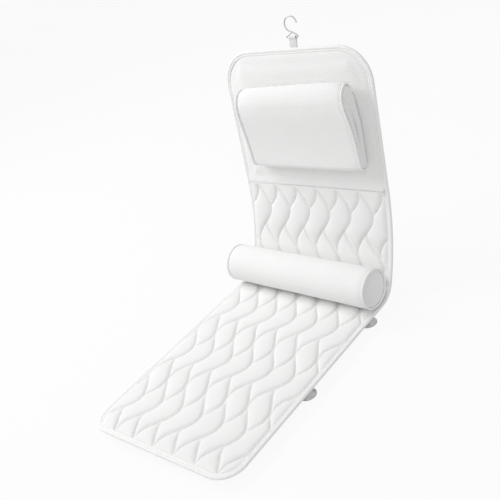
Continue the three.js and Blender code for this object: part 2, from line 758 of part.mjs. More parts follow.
function pillowBlock(stations, inset, bulge) {
  const crowns = stations.map((u) => pillowCrown(Math.min(1, Math.abs(u))));
  const rings = crowns.map((crown, i) => pillowRing(inset + bulge[i], crown));
  const loft = pillowLoft(rings, stations.map((u) => u * PILLOW_HALF));
  const tail = (stations.length - 1) * loft.sides;
  const flat = rings[0].map(([s, h]) => new THREE.Vector2(s, h));
  const forward = Math.sign(THREE.ShapeUtils.area(flat));
  for (const [a, b, c] of THREE.ShapeUtils.triangulateShape(flat, [])) {
    const same = Math.sign(THREE.ShapeUtils.area([flat[a], flat[b], flat[c]])) === forward;
    const [p, q] = same ? [b, c] : [c, b];
    loft.triangles.push([a, q, p]);
    loft.triangles.push([tail + a, tail + p, tail + q]);
  }
  return closedGeometry(loft.points, loft.triangles);
}

add('pillow_cover', pillowCover(), 'quilt');
const coreReach = 1 - (2 * GAP) / PILLOW_HALF;
const coreStations = [-coreReach, -0.6, 0, 0.6, coreReach];
add('pillow_core', pillowBlock(coreStations, COVER_THICK + GAP, [0, 0, 0, 0, 0]), 'foam');

for (const [side, sign] of [['left', -1], ['right', 1]]) {
  const near = 1 + GAP / PILLOW_HALF;
  const far = near + COVER_THICK / PILLOW_HALF;
  const stations = sign > 0 ? [near, far] : [-far, -near];
  const rounding = 0.75 * COVER_THICK;
  const bulge = sign > 0 ? [0, rounding] : [rounding, 0];
  add(`pillow_gusset_${side}`, pillowBlock(stations, 2 * PIPING_RADIUS + 4 * GAP, bulge), 'quilt');
  const x = pillowX + sign * (PILLOW_HALF + GAP + PIPING_RADIUS);
  const line = pillowRing(PIPING_RADIUS, pillowCrown(1)).map(([s, h]) => place(headSurface, x, s, -h));
  const path = new THREE.CatmullRomCurve3(line, true);
  const piping = new THREE.TubeGeometry(path, 32, PIPING_RADIUS, 5, true);
  add(`pillow_piping_${side}`, turnedOut(piping), 'tape');
}

// Bolster that rests in the bend, a little askew as it lies in use
const bolsterLength = MAT_WIDTH - 2 * (GAP + 2 * PIPING_RADIUS);
const bolsterY = -(bolsterLength / 2) * Math.sin(-BOLSTER_SKEW) - BOLSTER_PLAY;

function layBolster(geometry) {
  geometry.rotateZ(-Math.PI / 2);
  geometry.rotateZ(BOLSTER_SKEW);
  return geometry.translate(0, bolsterY, 0);
}

function bolsterLathe(outline, segments) {
  const geometry = new THREE.LatheGeometry(outline.map(([r, h]) => new THREE.Vector2(r, h)), segments);
  return layBolster(geometryOf(solidOf(geometry)));
}

const halfBolster = bolsterLength / 2;
const bolsterInner = BOLSTER_RADIUS - COVER_THICK;
add('bolster_cover', bolsterLathe([
  [bolsterInner - END_DRAW, -halfBolster],
  [BOLSTER_RADIUS - END_DRAW, -halfBolster],
  [BOLSTER_RADIUS, -halfBolster + END_REACH],
  [BOLSTER_RADIUS, halfBolster - END_REACH],
  [BOLSTER_RADIUS - END_DRAW, halfBolster],
  [bolsterInner - END_DRAW, halfBolster],
  [bolsterInner - END_DRAW, -halfBolster],
], 32), 'quilt');
const coreRadius = bolsterInner - END_DRAW - GAP;
const coreHalf = halfBolster - END_DISH - COVER_THICK - GAP;

function bolsterDisc(low, high) {
  return bolsterLathe([[0, low], [coreRadius, low], [coreRadius, high], [0, high]], 24);
}

add('bolster_core', bolsterDisc(-coreHalf, coreHalf), 'foam');
for (const [side, sign] of [['left', -1], ['right', 1]]) {
  const near = sign * (halfBolster - END_DISH - COVER_THICK);
  const far = sign * (halfBolster - END_DISH);
  add(`bolster_end_${side}`, bolsterDisc(Math.min(near, far), Math.max(near, far)), 'quilt');
  const ring = new THREE.TorusGeometry(BOLSTER_RADIUS - END_DRAW - PIPING_RADIUS, PIPING_RADIUS, 5, 28);
  ring.rotateX(Math.PI / 2);
  ring.translate(0, sign * (halfBolster + GAP + PIPING_RADIUS), 0);
  add(`bolster_piping_${side}`, layBolster(geometryOf(solidOf(ring))), 'tape');
}

// Grip strip under the bolster
function bolsterGrip() {
  const inner = BOLSTER_RADIUS + GAP;
  const outer = inner + TAPE_THICK;
  const reach = TAPE_WIDTH / 2 / outer;
  const shape = new THREE.Shape();
  shape.absarc(0, 0, outer, -reach, reach, false);
  shape.absarc(0, 0, inner, reach, -reach, true);
  const length = 0.62 * MAT_WIDTH;
  const options = { depth: length, bevelEnabled: false, curveSegments: 6 };
  const geometry = new THREE.ExtrudeGeometry(shape, options);
  geometry.translate(0, 0, -length / 2);
  return geometry.rotateY(Math.PI / 2);
}
const grip = bolsterGrip();
grip.rotateZ(BOLSTER_SKEW);
grip.translate(0, bolsterY, 0);
add('bolster_hook_tape', turnedOut(grip), 'grip');

// Hanging loop of webbing, sewn to the rear of the head panel
const barHole = WIRE_RADIUS + BAR_PLAY;
const loopRadius = barHole + STRAP_THICK;
const barDepth = BACKING_BASE + GAP + loopRadius;
const barRise = HEAD_LENGTH + LOOP_RISE;

function arcPoints(radius, from, to, count) {
  return Array.from({ length: count + 1 }, (_, i) => {
    const angle = from + ((to - from) * i) / count;
    return [barRise + radius * Math.cos(angle), -barDepth + radius * Math.sin(angle)];
  });
}
const loopOutline = [
  [HEAD_LENGTH - STRAP_SEWN, -barDepth - STRAP_THICK],
  [HEAD_LENGTH, -barDepth - STRAP_THICK],
  ...arcPoints(loopRadius, (-125 * Math.PI) / 180, (125 * Math.PI) / 180, 12),
  [HEAD_LENGTH, -barDepth + loopRadius],
  [HEAD_LENGTH - STRAP_SEWN, -barDepth + loopRadius],
];
const loopHole = arcPoints(barHole, 0, (2 * Math.PI * 15) / 16, 15);
add('hanging_loop', acrossPanel(loopOutline, loopHole, HANG_SHIFT, LOOP_WIDTH), 'tape');

// Wire hook: closed bail round the webbing, then the open hook
function hookPoint(x, rise) {
  return place(headSurface, HANG_SHIFT + x, barRise + rise, barDepth);
}

function wireRun(points, closedCurve, segments) {
  const path = new THREE.CatmullRomCurve3(points, closedCurve, 'centripetal');
  const tube = new THREE.TubeGeometry(path, segments, WIRE_RADIUS, 7, closedCurve);
  return capped(tube, segments, 7);
}

function capped(tube, segments, sides) {
  const position = tube.getAttribute('position');
  const points = [];
  for (let i = 0; i <= segments; i += 1) {
    for (let j = 0; j < sides; j += 1) {
      points.push(new THREE.Vector3().fromBufferAttribute(position, i * (sides + 1) + j));
    }
  }
  const triangles = [];
  for (let i = 0; i < segments; i += 1) {
    for (let j = 0; j < sides; j += 1) {
      const a = i * sides + j;
      const b = i * sides + ((j + 1) % sides);
      triangles.push([a, b, a + sides]);
      triangles.push([b, b + sides, a + sides]);
    }
  }
  const tail = segments * sides;
  for (let j = 1; j + 1 < sides; j += 1) {
    triangles.push([0, j + 1, j]);
    triangles.push([tail, tail + j, tail + j + 1]);
  }
  return closedGeometry(points, triangles);
}

function hangingHook() {
  const half = BAR_LENGTH / 2;
  const middle = HOOK_RADIUS + HOOK_NECK;
  const arc = [235, 205, 175, 145, 115, 85, 55, 30, 8].map((angle) => {
    const turn = THREE.MathUtils.degToRad(angle);
    return hookPoint(0.6 + HOOK_RADIUS * Math.cos(turn), middle + HOOK_RADIUS * Math.sin(turn));
  });
  const shank = [[half - 0.1, 2.6], [half - 2.4, 6.4], [half / 2, 8.6], [0, 11.2]];
  const bar = [-0.84, -0.5, 0, 0.5, 0.84].map((u) => hookPoint(u * half, 0));
  const leg = [[-1.4, 9.9], [-half / 2, 7.6], [-half + 1.6, 5.2], [-half + 0.1, 2.2]];
  const bend = (list) => list.map(([x, rise]) => hookPoint(x, rise));
  const run = [...bend(leg), ...bar, ...bend(shank), ...arc];
  const wire = solidOf(wireRun(run, false, 60));
  return geometryOf(wire);
}
add('hanging_hook', hangingHook(), 'wire');

// Stand the part on the floor with its box centred on the origin
const box = new THREE.Box3();
part.children.forEach((mesh) => {
  mesh.geometry.computeBoundingBox();
  box.union(mesh.geometry.boundingBox);
});
const centre = box.getCenter(new THREE.Vector3());
part.children.forEach((mesh) => mesh.geometry.translate(-centre.x, -centre.y, -box.min.z));

export default part;
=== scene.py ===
"""Looks of a full-length bath pillow mat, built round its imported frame.

Lengths are in millimetres until a mesh is made. x runs across the mat, t runs up the mat from its lower
fold and is negative on the seat, and depth runs from the crest of the padding towards the rear.
"""

import logging
import math
from dataclasses import dataclass
from enum import Enum
from typing import Any, Sequence

import bmesh
import bpy
import numpy as np
from mathutils import Matrix, Vector


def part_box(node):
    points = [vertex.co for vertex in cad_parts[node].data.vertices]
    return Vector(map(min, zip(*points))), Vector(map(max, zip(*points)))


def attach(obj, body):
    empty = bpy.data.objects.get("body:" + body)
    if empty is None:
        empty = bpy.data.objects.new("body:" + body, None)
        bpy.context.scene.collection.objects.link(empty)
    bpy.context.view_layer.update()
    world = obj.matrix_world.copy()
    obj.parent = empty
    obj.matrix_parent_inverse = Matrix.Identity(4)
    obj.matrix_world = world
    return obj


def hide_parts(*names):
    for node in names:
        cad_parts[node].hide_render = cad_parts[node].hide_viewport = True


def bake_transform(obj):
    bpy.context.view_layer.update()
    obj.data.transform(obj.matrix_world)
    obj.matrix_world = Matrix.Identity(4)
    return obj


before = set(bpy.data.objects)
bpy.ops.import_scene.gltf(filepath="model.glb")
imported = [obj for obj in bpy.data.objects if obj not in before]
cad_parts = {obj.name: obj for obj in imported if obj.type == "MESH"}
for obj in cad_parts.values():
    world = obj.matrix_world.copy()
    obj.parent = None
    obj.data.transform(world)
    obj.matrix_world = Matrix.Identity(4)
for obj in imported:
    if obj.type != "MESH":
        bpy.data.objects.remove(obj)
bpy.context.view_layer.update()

Array = np.ndarray
Piece = bpy.types.Object
Tree = bpy.types.NodeTree
Socket = bpy.types.NodeSocket
Pairs = tuple[tuple[float, float], ...]

LOG = logging.getLogger("bath_pillow_mat")
MM = 0.001
ROUND = 2 * math.pi
CLOTH_UV = "cloth"


class Body(Enum):
    """The moving bodies of the frame."""

    SEAT = "seat"
    BACK = "back"
    HEAD = "head"
    PILLOW = "pillow"
    BOLSTER = "bolster"
    HOOK = "hook"


class Slot(Enum):
    """The record's finishes."""

    COVER = "cover_mesh"
    LINING = "lining_fabric"
    TAPE = "edge_tape"
    GRIP = "grip_tape"
    CUP = "cup_vinyl"
    WIRE = "hook_wire"


class Side(Enum):
    """The two sides of the mat, with the sign of x."""

    LEFT = -1
    RIGHT = 1


# Small helpers for nodes


def linear(hex_colour: str) -> tuple[float, float, float, float]:
    """Turn an sRGB hex colour, with its hash mark, into linear RGBA."""
    shares = [int(hex_colour[i : i + 2], 16) / 255 for i in (1, 3, 5)]
    curve = [c / 12.92 if c <= 0.04045 else ((c + 0.055) / 1.055) ** 2.4 for c in shares]
    return (*curve, 1.0)


def feed(tree: Tree, target: bpy.types.Node, feeds: dict) -> None:
    """Set a node's inputs, by name or number, to values or to the sockets that feed them."""
    for name, value in feeds.items():
        if isinstance(value, Socket):
            tree.links.new(value, target.inputs[name])
        else:
            target.inputs[name].default_value = value


def node(tree: Tree, kind: str, feeds: dict | None = None, **settings: Any) -> bpy.types.Node:
    """Add a node with its settings, values and links.

    Args:
        tree: The node tree that gets the node.
        kind: The node's type name.
        feeds: Input name or number, with a value or the output socket that feeds it.
        settings: Properties of the node.

    Returns:
        The new node.
    """
    made = tree.nodes.new(kind)
    for name, value in settings.items():
        setattr(made, name, value)
    feed(tree, made, feeds or {})
    return made


def sums(tree: Tree, operation: str, *values: Any) -> Socket:
    """Add a math node on values or sockets, and give its output."""
    return node(tree, "ShaderNodeMath", dict(enumerate(values)), operation=operation).outputs[0]


def ripples(tree: Tree, place: Socket, ray: tuple[float, float, float]) -> Socket:
    """Add a cosine wave that runs along a ray, and give its output."""
    dot = node(tree, "ShaderNodeVectorMath", {0: place, 1: ray}, operation="DOT_PRODUCT")
    return sums(tree, "COSINE", dot.outputs["Value"])


def noise(tree: Tree, place: Socket, size: float, detail: float) -> Socket:
    """Add noise with grains of a size in millimetres, and give its output."""
    feeds = {"Vector": place, "Scale": 1 / (size * MM), "Detail": detail}
    return node(tree, "ShaderNodeTexNoise", feeds).outputs["Fac"]


# Small helpers for shapes


def bell(distance: Array, reach: float) -> Array:
    """A smooth bump that is 1 at no distance and fades over reach."""
    return np.exp(-((distance / reach) ** 2))


def even(start: float, end: float, step: float) -> Array:
    """Even positions from start to end, about step apart."""
    return np.linspace(start, end, max(2, round(abs(end - start) / step) + 1))


def circle(count: int, start: float = 0.0) -> Array:
    """Even angles once round, in radians."""
    return np.linspace(start, start + ROUND, count, endpoint=False)


def travel(points: Array, closed: bool = False) -> Array:
    """Distance along a line from its first point to each, and back to the first if it is closed."""
    line = np.vstack([points, points[:1]]) if closed else points
    return np.concatenate([[0], np.cumsum(np.linalg.norm(np.diff(line, axis=0), axis=1))])


def unit(vectors: Array) -> Array:
    """Each row brought to a length of 1."""
    return vectors / np.linalg.norm(vectors, axis=1)[:, None]


def spline(points: Sequence[Sequence[float]], count: int, closed: bool = False) -> Array:
    """Sample a smooth centripetal curve through points.

    Args:
        points: The points that the curve passes.
        count: How many samples to take.
        closed: Whether the curve joins its own start.

    Returns:
        The samples, one row each.
    """
    knots = np.array(points, float)
    if closed:
        run = np.vstack([knots[-1], knots, knots[0], knots[1]])
    else:
        run = np.vstack([2 * knots[0] - knots[1], knots, 2 * knots[-1] - knots[-2]])
    spans = len(run) - 3
    where = np.linspace(0, spans, count, endpoint=not closed)
    cell = np.minimum(where.astype(int), spans - 1)
    f = (where - cell)[:, None]
    p0, p1, p2, p3 = (run[cell + k] for k in range(4))
    pairs = ((p0, p1), (p1, p2), (p2, p3))
    d0, d1, d2 = (np.sqrt(np.linalg.norm(b - a, axis=1))[:, None] for a, b in pairs)
    m1 = ((p1 - p0) / d0 - (p2 - p0) / (d0 + d1) + (p2 - p1) / d1) * d1
    m2 = ((p2 - p1) / d1 - (p3 - p1) / (d1 + d2) + (p3 - p2) / d2) * d1
    ends = (2 * f**3 - 3 * f**2 + 1) * p1 + (3 * f**2 - 2 * f**3) * p2
    return ends + (f**3 - 2 * f**2 + f) * m1 + (f**3 - f**2) * m2


def resample(grid: Array, rows: Array, columns: Array) -> Array:
    """Read a grid smoothly between its nodes.

    Args:
        grid: Values on a regular grid.
        rows: Row positions to read, in grid steps.
        columns: Column positions to read, in grid steps.

    Returns:
        The values at every row and column.
    """

    def along(values: Array, where: Array) -> Array:
        """Read the rows of a grid between its nodes."""
        base = np.floor(where).astype(int)
        f = (where - base)[:, None]
        weights = (
            -0.5 * f**3 + f**2 - 0.5 * f,
            1.5 * f**3 - 2.5 * f**2 + 1,
            -1.5 * f**3 + 2 * f**2 + 0.5 * f,
            0.5 * f**3 - 0.5 * f**2,
        )
        last = len(values) - 1
        return sum(w * values[np.clip(base + k - 1, 0, last)] for k, w in enumerate(weights))

    return along(along(grid, rows).T, columns).T


def link(name: str, data: Any) -> Piece:
    """Make an object of some data and put it in the scene."""
    made = bpy.data.objects.new(name, data)
    bpy.context.scene.collection.objects.link(made)
    return made


class Shell:
    """Collects grids and caps into one mesh object."""

    def __init__(self) -> None:
        """Start with no points."""
        self.points: list[Array] = []
        self.faces: list[tuple[int, ...]] = []
        self.uvs: list[tuple[float, float]] = []
        self.count = 0

    def add(self, points: Array) -> Array:
        """Add points and give their numbers, in the shape of the list."""
        flat = points.reshape(-1, 3)
        numbers = np.arange(self.count, self.count + len(flat)).reshape(points.shape[:-1])
        self.points.append(flat)
        self.count += len(flat)
        return numbers

    def skin(self, numbers: Array, u: Any = 0.0, v: Any = 0.0) -> None:
        """Cover a grid of point numbers with quads.

        Args:
            numbers: Point numbers, with the first row or column repeated to close a ring.
            u: Cloth position of each number across, in millimetres.
            v: Cloth position of each number along, in millimetres.
        """
        corners = ((0, 0), (0, 1), (1, 1), (1, 0))
        r, c = numbers.shape

        def quads(values: Any) -> Array:
            """Values at the four corners of each quad."""
            grid = np.broadcast_to(values, (r, c))
            return np.stack([grid[i : r - 1 + i, j : c - 1 + j].ravel() for i, j in corners], 1)

        self.faces.extend(map(tuple, quads(numbers).tolist()))
        places = np.stack([quads(u), quads(v)], 2).reshape(-1, 2) * MM
        self.uvs.extend(map(tuple, places.tolist()))

    def cap(self, numbers: Sequence[int], u: Any = 0.0, v: Any = 0.0) -> None:
        """Close a ring of points with one face."""
        self.faces.append(tuple(int(n) for n in numbers))
        places = np.stack(np.broadcast_arrays(u, v, numbers)[:2], 1) * MM
        self.uvs.extend(map(tuple, places.tolist()))

    def build(self, name: str, sharp: float = 60.0) -> Piece:
        """Make the mesh object, with faces outward and smooth shading.

        Args:
            name: The piece's name.
            sharp: Edges that turn more than this, in degrees, stay sharp.

        Returns:
            The new object, in metres, at the origin.
        """
        mesh = bpy.data.meshes.new(name)
        mesh.from_pydata((np.vstack(self.points) * MM).tolist(), [], self.faces)
        layer = mesh.uv_layers.new(name=CLOTH_UV)
        layer.data.foreach_set("uv", np.array(self.uvs, np.float32).ravel())
        work = bmesh.new()
        work.from_mesh(mesh)
        bmesh.ops.recalc_face_normals(work, faces=work.faces)
        work.to_mesh(mesh)
        work.free()
        mesh.polygons.foreach_set("use_smooth", [True] * len(mesh.polygons))
        mesh.set_sharp_from_angle(angle=math.radians(sharp))
        return link(name, mesh)


def sleeve(name: str, points: Array, u: Any, v: Any, sharp: float = 60.0, closed: bool = False) -> Piece:
    """Cover rings of points that close on themselves.

    Args:
        name: The piece's name.
        points: The points, a ring in each row.
        u: Cloth positions across, for rings with their first point repeated.
        v: Cloth positions along, in the same way.
        sharp: Edges that turn more than this, in degrees, stay sharp.
        closed: Whether the last ring joins the first; if not, both are capped.

    Returns:
        The piece.
    """
    shell = Shell()
    numbers = shell.add(points)
    looped = np.pad(numbers, ((0, int(closed)), (0, 1)), "wrap")
    u, v = (np.broadcast_to(a, looped.shape) for a in (u, v))
    shell.skin(looped, u, v)
    for row in () if closed else (0, -1):
        shell.cap(numbers[row], u[row, :-1], v[row, :-1])
    return shell.build(name, sharp)


def slab(name: str, front: Array, rear: Array, u: Any, v: Any) -> Piece:
    """Cover two grids of points, face to face, and close the rim between them.

    Args:
        name: The piece's name.
        front: The points of one face.
        rear: The points of the other face.
        u: Cloth positions across.
        v: Cloth positions along.

    Returns:
        The piece.
    """
    shell = Shell()
    faces = np.stack([shell.add(front), shell.add(rear)])
    for numbers in faces:
        shell.skin(numbers, u, v)
    for end in (0, -1):
        shell.skin(faces[:, end])
        shell.skin(faces[:, :, end])
    return shell.build(name)


def planar_tube(
    name: str, path: Array, across: Array, radius: float, sides: int, closed: bool = False
) -> Piece:
    """Sweep a round section along a flat path.

    Args:
        name: The piece's name.
        path: Points of the centre line.
        across: The direction square to the path's plane.
        radius: Radius of the section.
        sides: Points round the section.
        closed: Whether the path joins its own start.

    Returns:
        The tube, with rounded ends where it is open.
    """
    ahead = np.roll(path, -1, 0) - np.roll(path, 1, 0)
    if not closed:
        ahead[0], ahead[-1] = path[1] - path[0], path[-1] - path[-2]
    ahead = unit(ahead)
    scale = np.ones(len(path))
    if not closed:
        # Rings of the rounded end, from its small tip inward
        tip = 0.15
        beyond = 1 - np.sin(np.radians([0, 25, 50, 75]))
        rounds = np.maximum(tip, np.sqrt(1 - beyond**2))
        lead = path[0] - ahead[0] * radius * beyond[:, None]
        tail = path[-1] + ahead[-1] * radius * beyond[::-1, None]
        path = np.vstack([lead, path, tail])
        ahead = np.vstack([[ahead[0]] * len(beyond), ahead, [ahead[-1]] * len(beyond)])
        scale = np.concatenate([rounds, scale, rounds[::-1]])
    side = np.cross(ahead, across)
    turn = circle(sides)[None, :, None]
    ring = np.cos(turn) * side[:, None] + np.sin(turn) * np.asarray(across)
    points = path[:, None] + ring * radius * scale[:, None, None]
    around = np.linspace(0, ROUND * radius, sides + 1)
    return sleeve(name, points, around, travel(path, closed)[:, None], sharp=80, closed=closed)


# The mat's form


@dataclass(frozen=True)
class MatForm:
    """The bent surface that all layers of the mat follow."""

    width: float = 380.0
    seat_run: float = 515.0
    lumbar: float = 190.0
    head: float = 298.0
    base_lean: float = math.radians(30.0)
    head_lean: float = math.radians(8.3)
    bend_radius: float = 43.5
    binding: float = 9.0
    gap: float = 0.3
    core_base: float = 14.3
    backing_base: float = 16.6
    seam_start: float = 1.5
    fold_slope: float = 0.9
    fold_ease: float = 0.5
    pinch: float = 5.6
    pinch_reach: float = 7.5
    joint_t: float = 95.0

    @property
    def bend_arc(self) -> float:
        """Length of the bend that the bolster lies in."""
        return self.bend_radius * (math.pi / 2 - self.base_lean)

    @property
    def seat(self) -> float:
        """Length of the seat from the fold to its front edge."""
        return self.bend_arc + self.seat_run

    @property
    def top(self) -> float:
        """Height of the head panel's upper edge up the mat."""
        return self.lumbar + self.head

    @property
    def pad_half(self) -> float:
        """Half the width of the padding inside the edge tape."""
        return self.width / 2 - self.binding - self.gap

    @property
    def rear_start(self) -> float:
        """Distance from a fold to the rear edge of the padding's slanted wall."""
        return self.seam_start + self.fold_slope * (self.core_base - self.fold_ease)

    @property
    def origin(self) -> tuple[float, float]:
        """Where the bend's axis lies in the frame, as y and z."""
        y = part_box("seat_binding")[0].y / MM + self.seat_run
        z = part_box("seat_backing")[0].z / MM + self.bend_radius + self.backing_base
        return y, z

    @property
    def head_normal(self) -> Array:
        """Direction out of the front of the head panel."""
        return np.array([0.0, -math.cos(self.head_lean), math.sin(self.head_lean)])

    def drawn(self, depth: Array, edge: Array) -> Array:
        """Depth of a rear layer that the edge tape draws forward, at a distance from the edge."""
        return depth - self.pinch * bell(edge, self.pinch_reach)

    def place(self, x: Any, t: Any, depth: Any) -> Array:
        """Points of a layer in the frame.

        Args:
            x: Distance across the mat.
            t: Distance up the mat from the lower fold.
            depth: Distance behind the crest of the padding.

        Returns:
            Points, with the three coordinates last.
        """
        x, t, depth = np.broadcast_arrays(*(np.asarray(a, float) for a in (x, t, depth)))
        r, lean0, lean1 = self.bend_radius, self.base_lean, self.head_lean
        rate = (lean1 - lean0) / self.lumbar
        angle = -lean0 + np.clip(t, -self.bend_arc, 0) / r
        run = np.minimum(t + self.bend_arc, 0)
        low_y, low_z = r * np.cos(angle) + run, r * np.sin(angle)
        lean = lean0 + rate * np.clip(t, 0, self.lumbar)
        beyond = np.maximum(t - self.lumbar, 0)
        high_y = r * math.cos(lean0) - (np.cos(lean) - math.cos(lean0)) / rate + beyond * math.sin(lean1)
        high_z = -r * math.sin(lean0) + (np.sin(lean) - math.sin(lean0)) / rate + beyond * math.cos(lean1)
        upper = t > 0
        turn = np.where(upper, lean, -angle)
        y = np.where(upper, high_y, low_y) + depth * np.cos(turn)
        z = np.where(upper, high_z, low_z) - depth * np.sin(turn)
        y0, z0 = self.origin
        return np.stack([x, y + y0, z + z0], -1)

    def point(self, x: float, t: float, depth: float) -> Vector:
        """One point of a layer in the frame, in metres."""
        return Vector(self.place(x, t, depth) * MM)


MAT = MatForm()


@dataclass(frozen=True)
class Fold:
    """A sewn fold that cloth bends round, between two bodies."""

    lower: Body
    upper: Body
    t: float
    reach: float = 20.0
    depth: float = 8.0

    def bend(self, piece: Piece) -> None:
        """Bake a piece's placement into its mesh."""
        start = MAT.point(0, self.t - self.reach, self.depth)
        end = MAT.point(0, self.t + self.reach, self.depth)
        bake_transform(piece)


BACK_FOLD = Fold(Body.SEAT, Body.BACK, 0.0)
HEAD_FOLD = Fold(Body.BACK, Body.HEAD, MAT.lumbar)


@dataclass(frozen=True)
class WaveQuilting:
    """Two families of stitched waves that run along the mat and meet in leaf tips."""

    origin: float
    offset: float
    pitch: float = 55.0
    wave: float = 156.0
    swing: float = 19.5
    cross_swing: float = 16.5
    cross_lead: float = 50.0
    cross_share: float = 0.38
    least: float = 0.8
    shortest: int = 4

    def lines(self, t: Array) -> tuple[Array, Array]:
        """Where one main line and one cross line lie across the mat, at distances up the mat."""
        phase = ROUND * (t - self.origin) / self.wave
        lead = ROUND * self.cross_lead / self.wave
        main = self.offset + self.swing * np.cos(phase)
        cross = self.offset + self.cross_share * self.pitch + self.cross_swing * np.cos(phase - lead)
        return main, main + np.clip(cross - main, self.least, self.pitch - self.least)

    def distance(self, x: Array, t: Array) -> Array:
        """Distance of points to the nearest stitched line."""
        nearest = np.full(np.broadcast(x, t).shape, np.inf)
        step = 0.5
        for line, later in zip(self.lines(t), self.lines(t + step)):
            aside = x - line
            aside = np.abs(aside - self.pitch * np.round(aside / self.pitch))
            nearest = np.minimum(nearest, aside / np.hypot(1, (later - line) / step))
        return nearest

    def runs(self, t: Array, half: Array) -> list[Array]:
        """Stretches of the stitched lines that lie inside the padding.

        Args:
            t: Distances up the mat, in order.
            half: Half width of the stitched area at each distance.

        Returns:
            Arrays of x and t.
        """
        found = []
        reach = math.ceil(MAT.width / self.pitch / 2) + 1
        for line in self.lines(t):
            for k in range(-reach, reach + 1):
                x = line + k * self.pitch
                inside = np.abs(x) < half
                breaks = np.flatnonzero(np.diff(inside.astype(int))) + 1
                for stretch in np.split(np.arange(len(t)), breaks):
                    if inside[stretch[0]] and len(stretch) > self.shortest:
                        found.append(np.stack([x[stretch], t[stretch]], 1))
        return found


# Finishes


@dataclass(frozen=True)
class Finish:
    """A procedural material of two tones, made once, and the record's finish that it takes."""

    name: str
    slot: Slot | None
    light: str
    dark: str

    def material(self) -> bpy.types.Material:
        """The material, made at its first use."""
        made = bpy.data.materials.get(self.name)
        if not made:
            made = bpy.data.materials.new(self.name)
            made.use_nodes = True
            self.draw(made.node_tree)
        return made

    def draw(self, tree: Tree) -> None:
        """Draw the finish into the nodes of its material."""
        raise NotImplementedError

    def shade(self, tree: Tree, dark: Socket, rough: dict, relief: dict, others: dict) -> None:
        """Feed the shader.

        Args:
            tree: The material's nodes.
            dark: Share of the dark tone.
            rough: Inputs of the node that spreads a value over the roughness.
            relief: Inputs of the node that turns a height into relief.
            others: Other inputs of the shader.
        """
        tones = {0: dark, 6: linear(self.light), 7: linear(self.dark)}
        feeds = {
            "Base Color": node(tree, "ShaderNodeMix", tones, data_type="RGBA").outputs[2],
            "Roughness": node(tree, "ShaderNodeMapRange", rough).outputs["Result"],
            "Normal": node(tree, "ShaderNodeBump", relief).outputs["Normal"],
        }
        feed(tree, tree.nodes["Principled BSDF"], feeds | others)


@dataclass(frozen=True)
class KnitFinish(Finish):
    """Knitted polyester spacer mesh: matt white yarn with rows of small open cells."""

    pitch: float
    # Share of the dark tone put into the open cells as painted shade
    cell_shade_share: float = 0.6
    roughness: float = 0.86
    relief: float = 0.35
    cell_peak: float = 2.8
    yarn: float = 0.9
    yarn_share: float = 0.35
    cloud: float = 60.0
    cloud_share: float = 0.12

    def draw(self, tree: Tree) -> None:
        """Draw a lattice of cells with painted shade in the open cells, the grain of the yarn and slow
        changes of tone.
        """
        place = node(tree, "ShaderNodeUVMap", uv_map=CLOTH_UV).outputs["UV"]
        # Three waves at 60 degrees peak on a lattice of cells, pitch apart in rows across the cloth
        rate = 4 * math.pi / (math.sqrt(3) * self.pitch * MM)
        total = 0.0
        for turn in np.radians((90, 30, -30)):
            ray = (rate * math.cos(turn), rate * math.sin(turn), 0)
            total = sums(tree, "ADD", total, ripples(tree, place, ray))
        feeds = {"Value": total, "From Min": 0.0, "From Max": self.cell_peak}
        cells = node(tree, "ShaderNodeMapRange", feeds, interpolation_type="SMOOTHSTEP").outputs["Result"]
        cloud = noise(tree, place, self.cloud, 1.0)
        # The cells are the knit's own lattice; their darker tone is painted shade inside the open cells
        cell_shade = sums(tree, "MULTIPLY", cells, self.cell_shade_share)
        dark = sums(tree, "MULTIPLY_ADD", cloud, self.cloud_share, cell_shade)
        grain = sums(tree, "MULTIPLY", noise(tree, place, self.yarn, 2.0), self.yarn_share)
        rough = {"Value": cells, "To Min": self.roughness, "To Max": self.roughness + 0.1}
        height = sums(tree, "SUBTRACT", grain, cells)
        relief = {"Strength": 0.6, "Distance": self.relief * MM, "Height": height}
        others = {"Specular IOR Level": 0.25, "Sheen Weight": 0.12, "Sheen Roughness": 0.6}
        self.shade(tree, dark, rough, relief, others)


@dataclass(frozen=True)
class WovenFinish(Finish):
    """Woven polyester tape: fine ribs across its length, with a soft sheen on the rib tops and painted shade
    in the furrows.
    """

    rib: float
    roughness: float = 0.72
    relief: float = 0.2
    thread: float = 1.2
    thread_share: float = 0.5

    def draw(self, tree: Tree) -> None:
        """Draw ribs and furrows, broken by the grain of the thread, with painted shade in the furrows."""
        place = node(tree, "ShaderNodeUVMap", uv_map=CLOTH_UV).outputs["UV"]
        ribs = ripples(tree, place, (0, ROUND / (self.rib * MM), 0))
        feeds = {"Value": ribs, "From Min": 1.0, "From Max": -1.0}
        furrows = node(tree, "ShaderNodeMapRange", feeds).outputs["Result"]
        grain = noise(tree, place, self.thread, 2.0)
        rough = {"Value": furrows, "To Min": self.roughness, "To Max": self.roughness + 0.15}
        height = sums(tree, "MULTIPLY_ADD", grain, self.thread_share, ribs)
        relief = {"Strength": 0.5, "Distance": self.relief * MM, "Height": height}
        others = {"Specular IOR Level": 0.3, "Sheen Weight": 0.1}
        # The furrows between the ribs get the dark tone as painted shade, broken by the grain of the thread
        self.shade(tree, sums(tree, "MULTIPLY", furrows, grain), rough, relief, others)


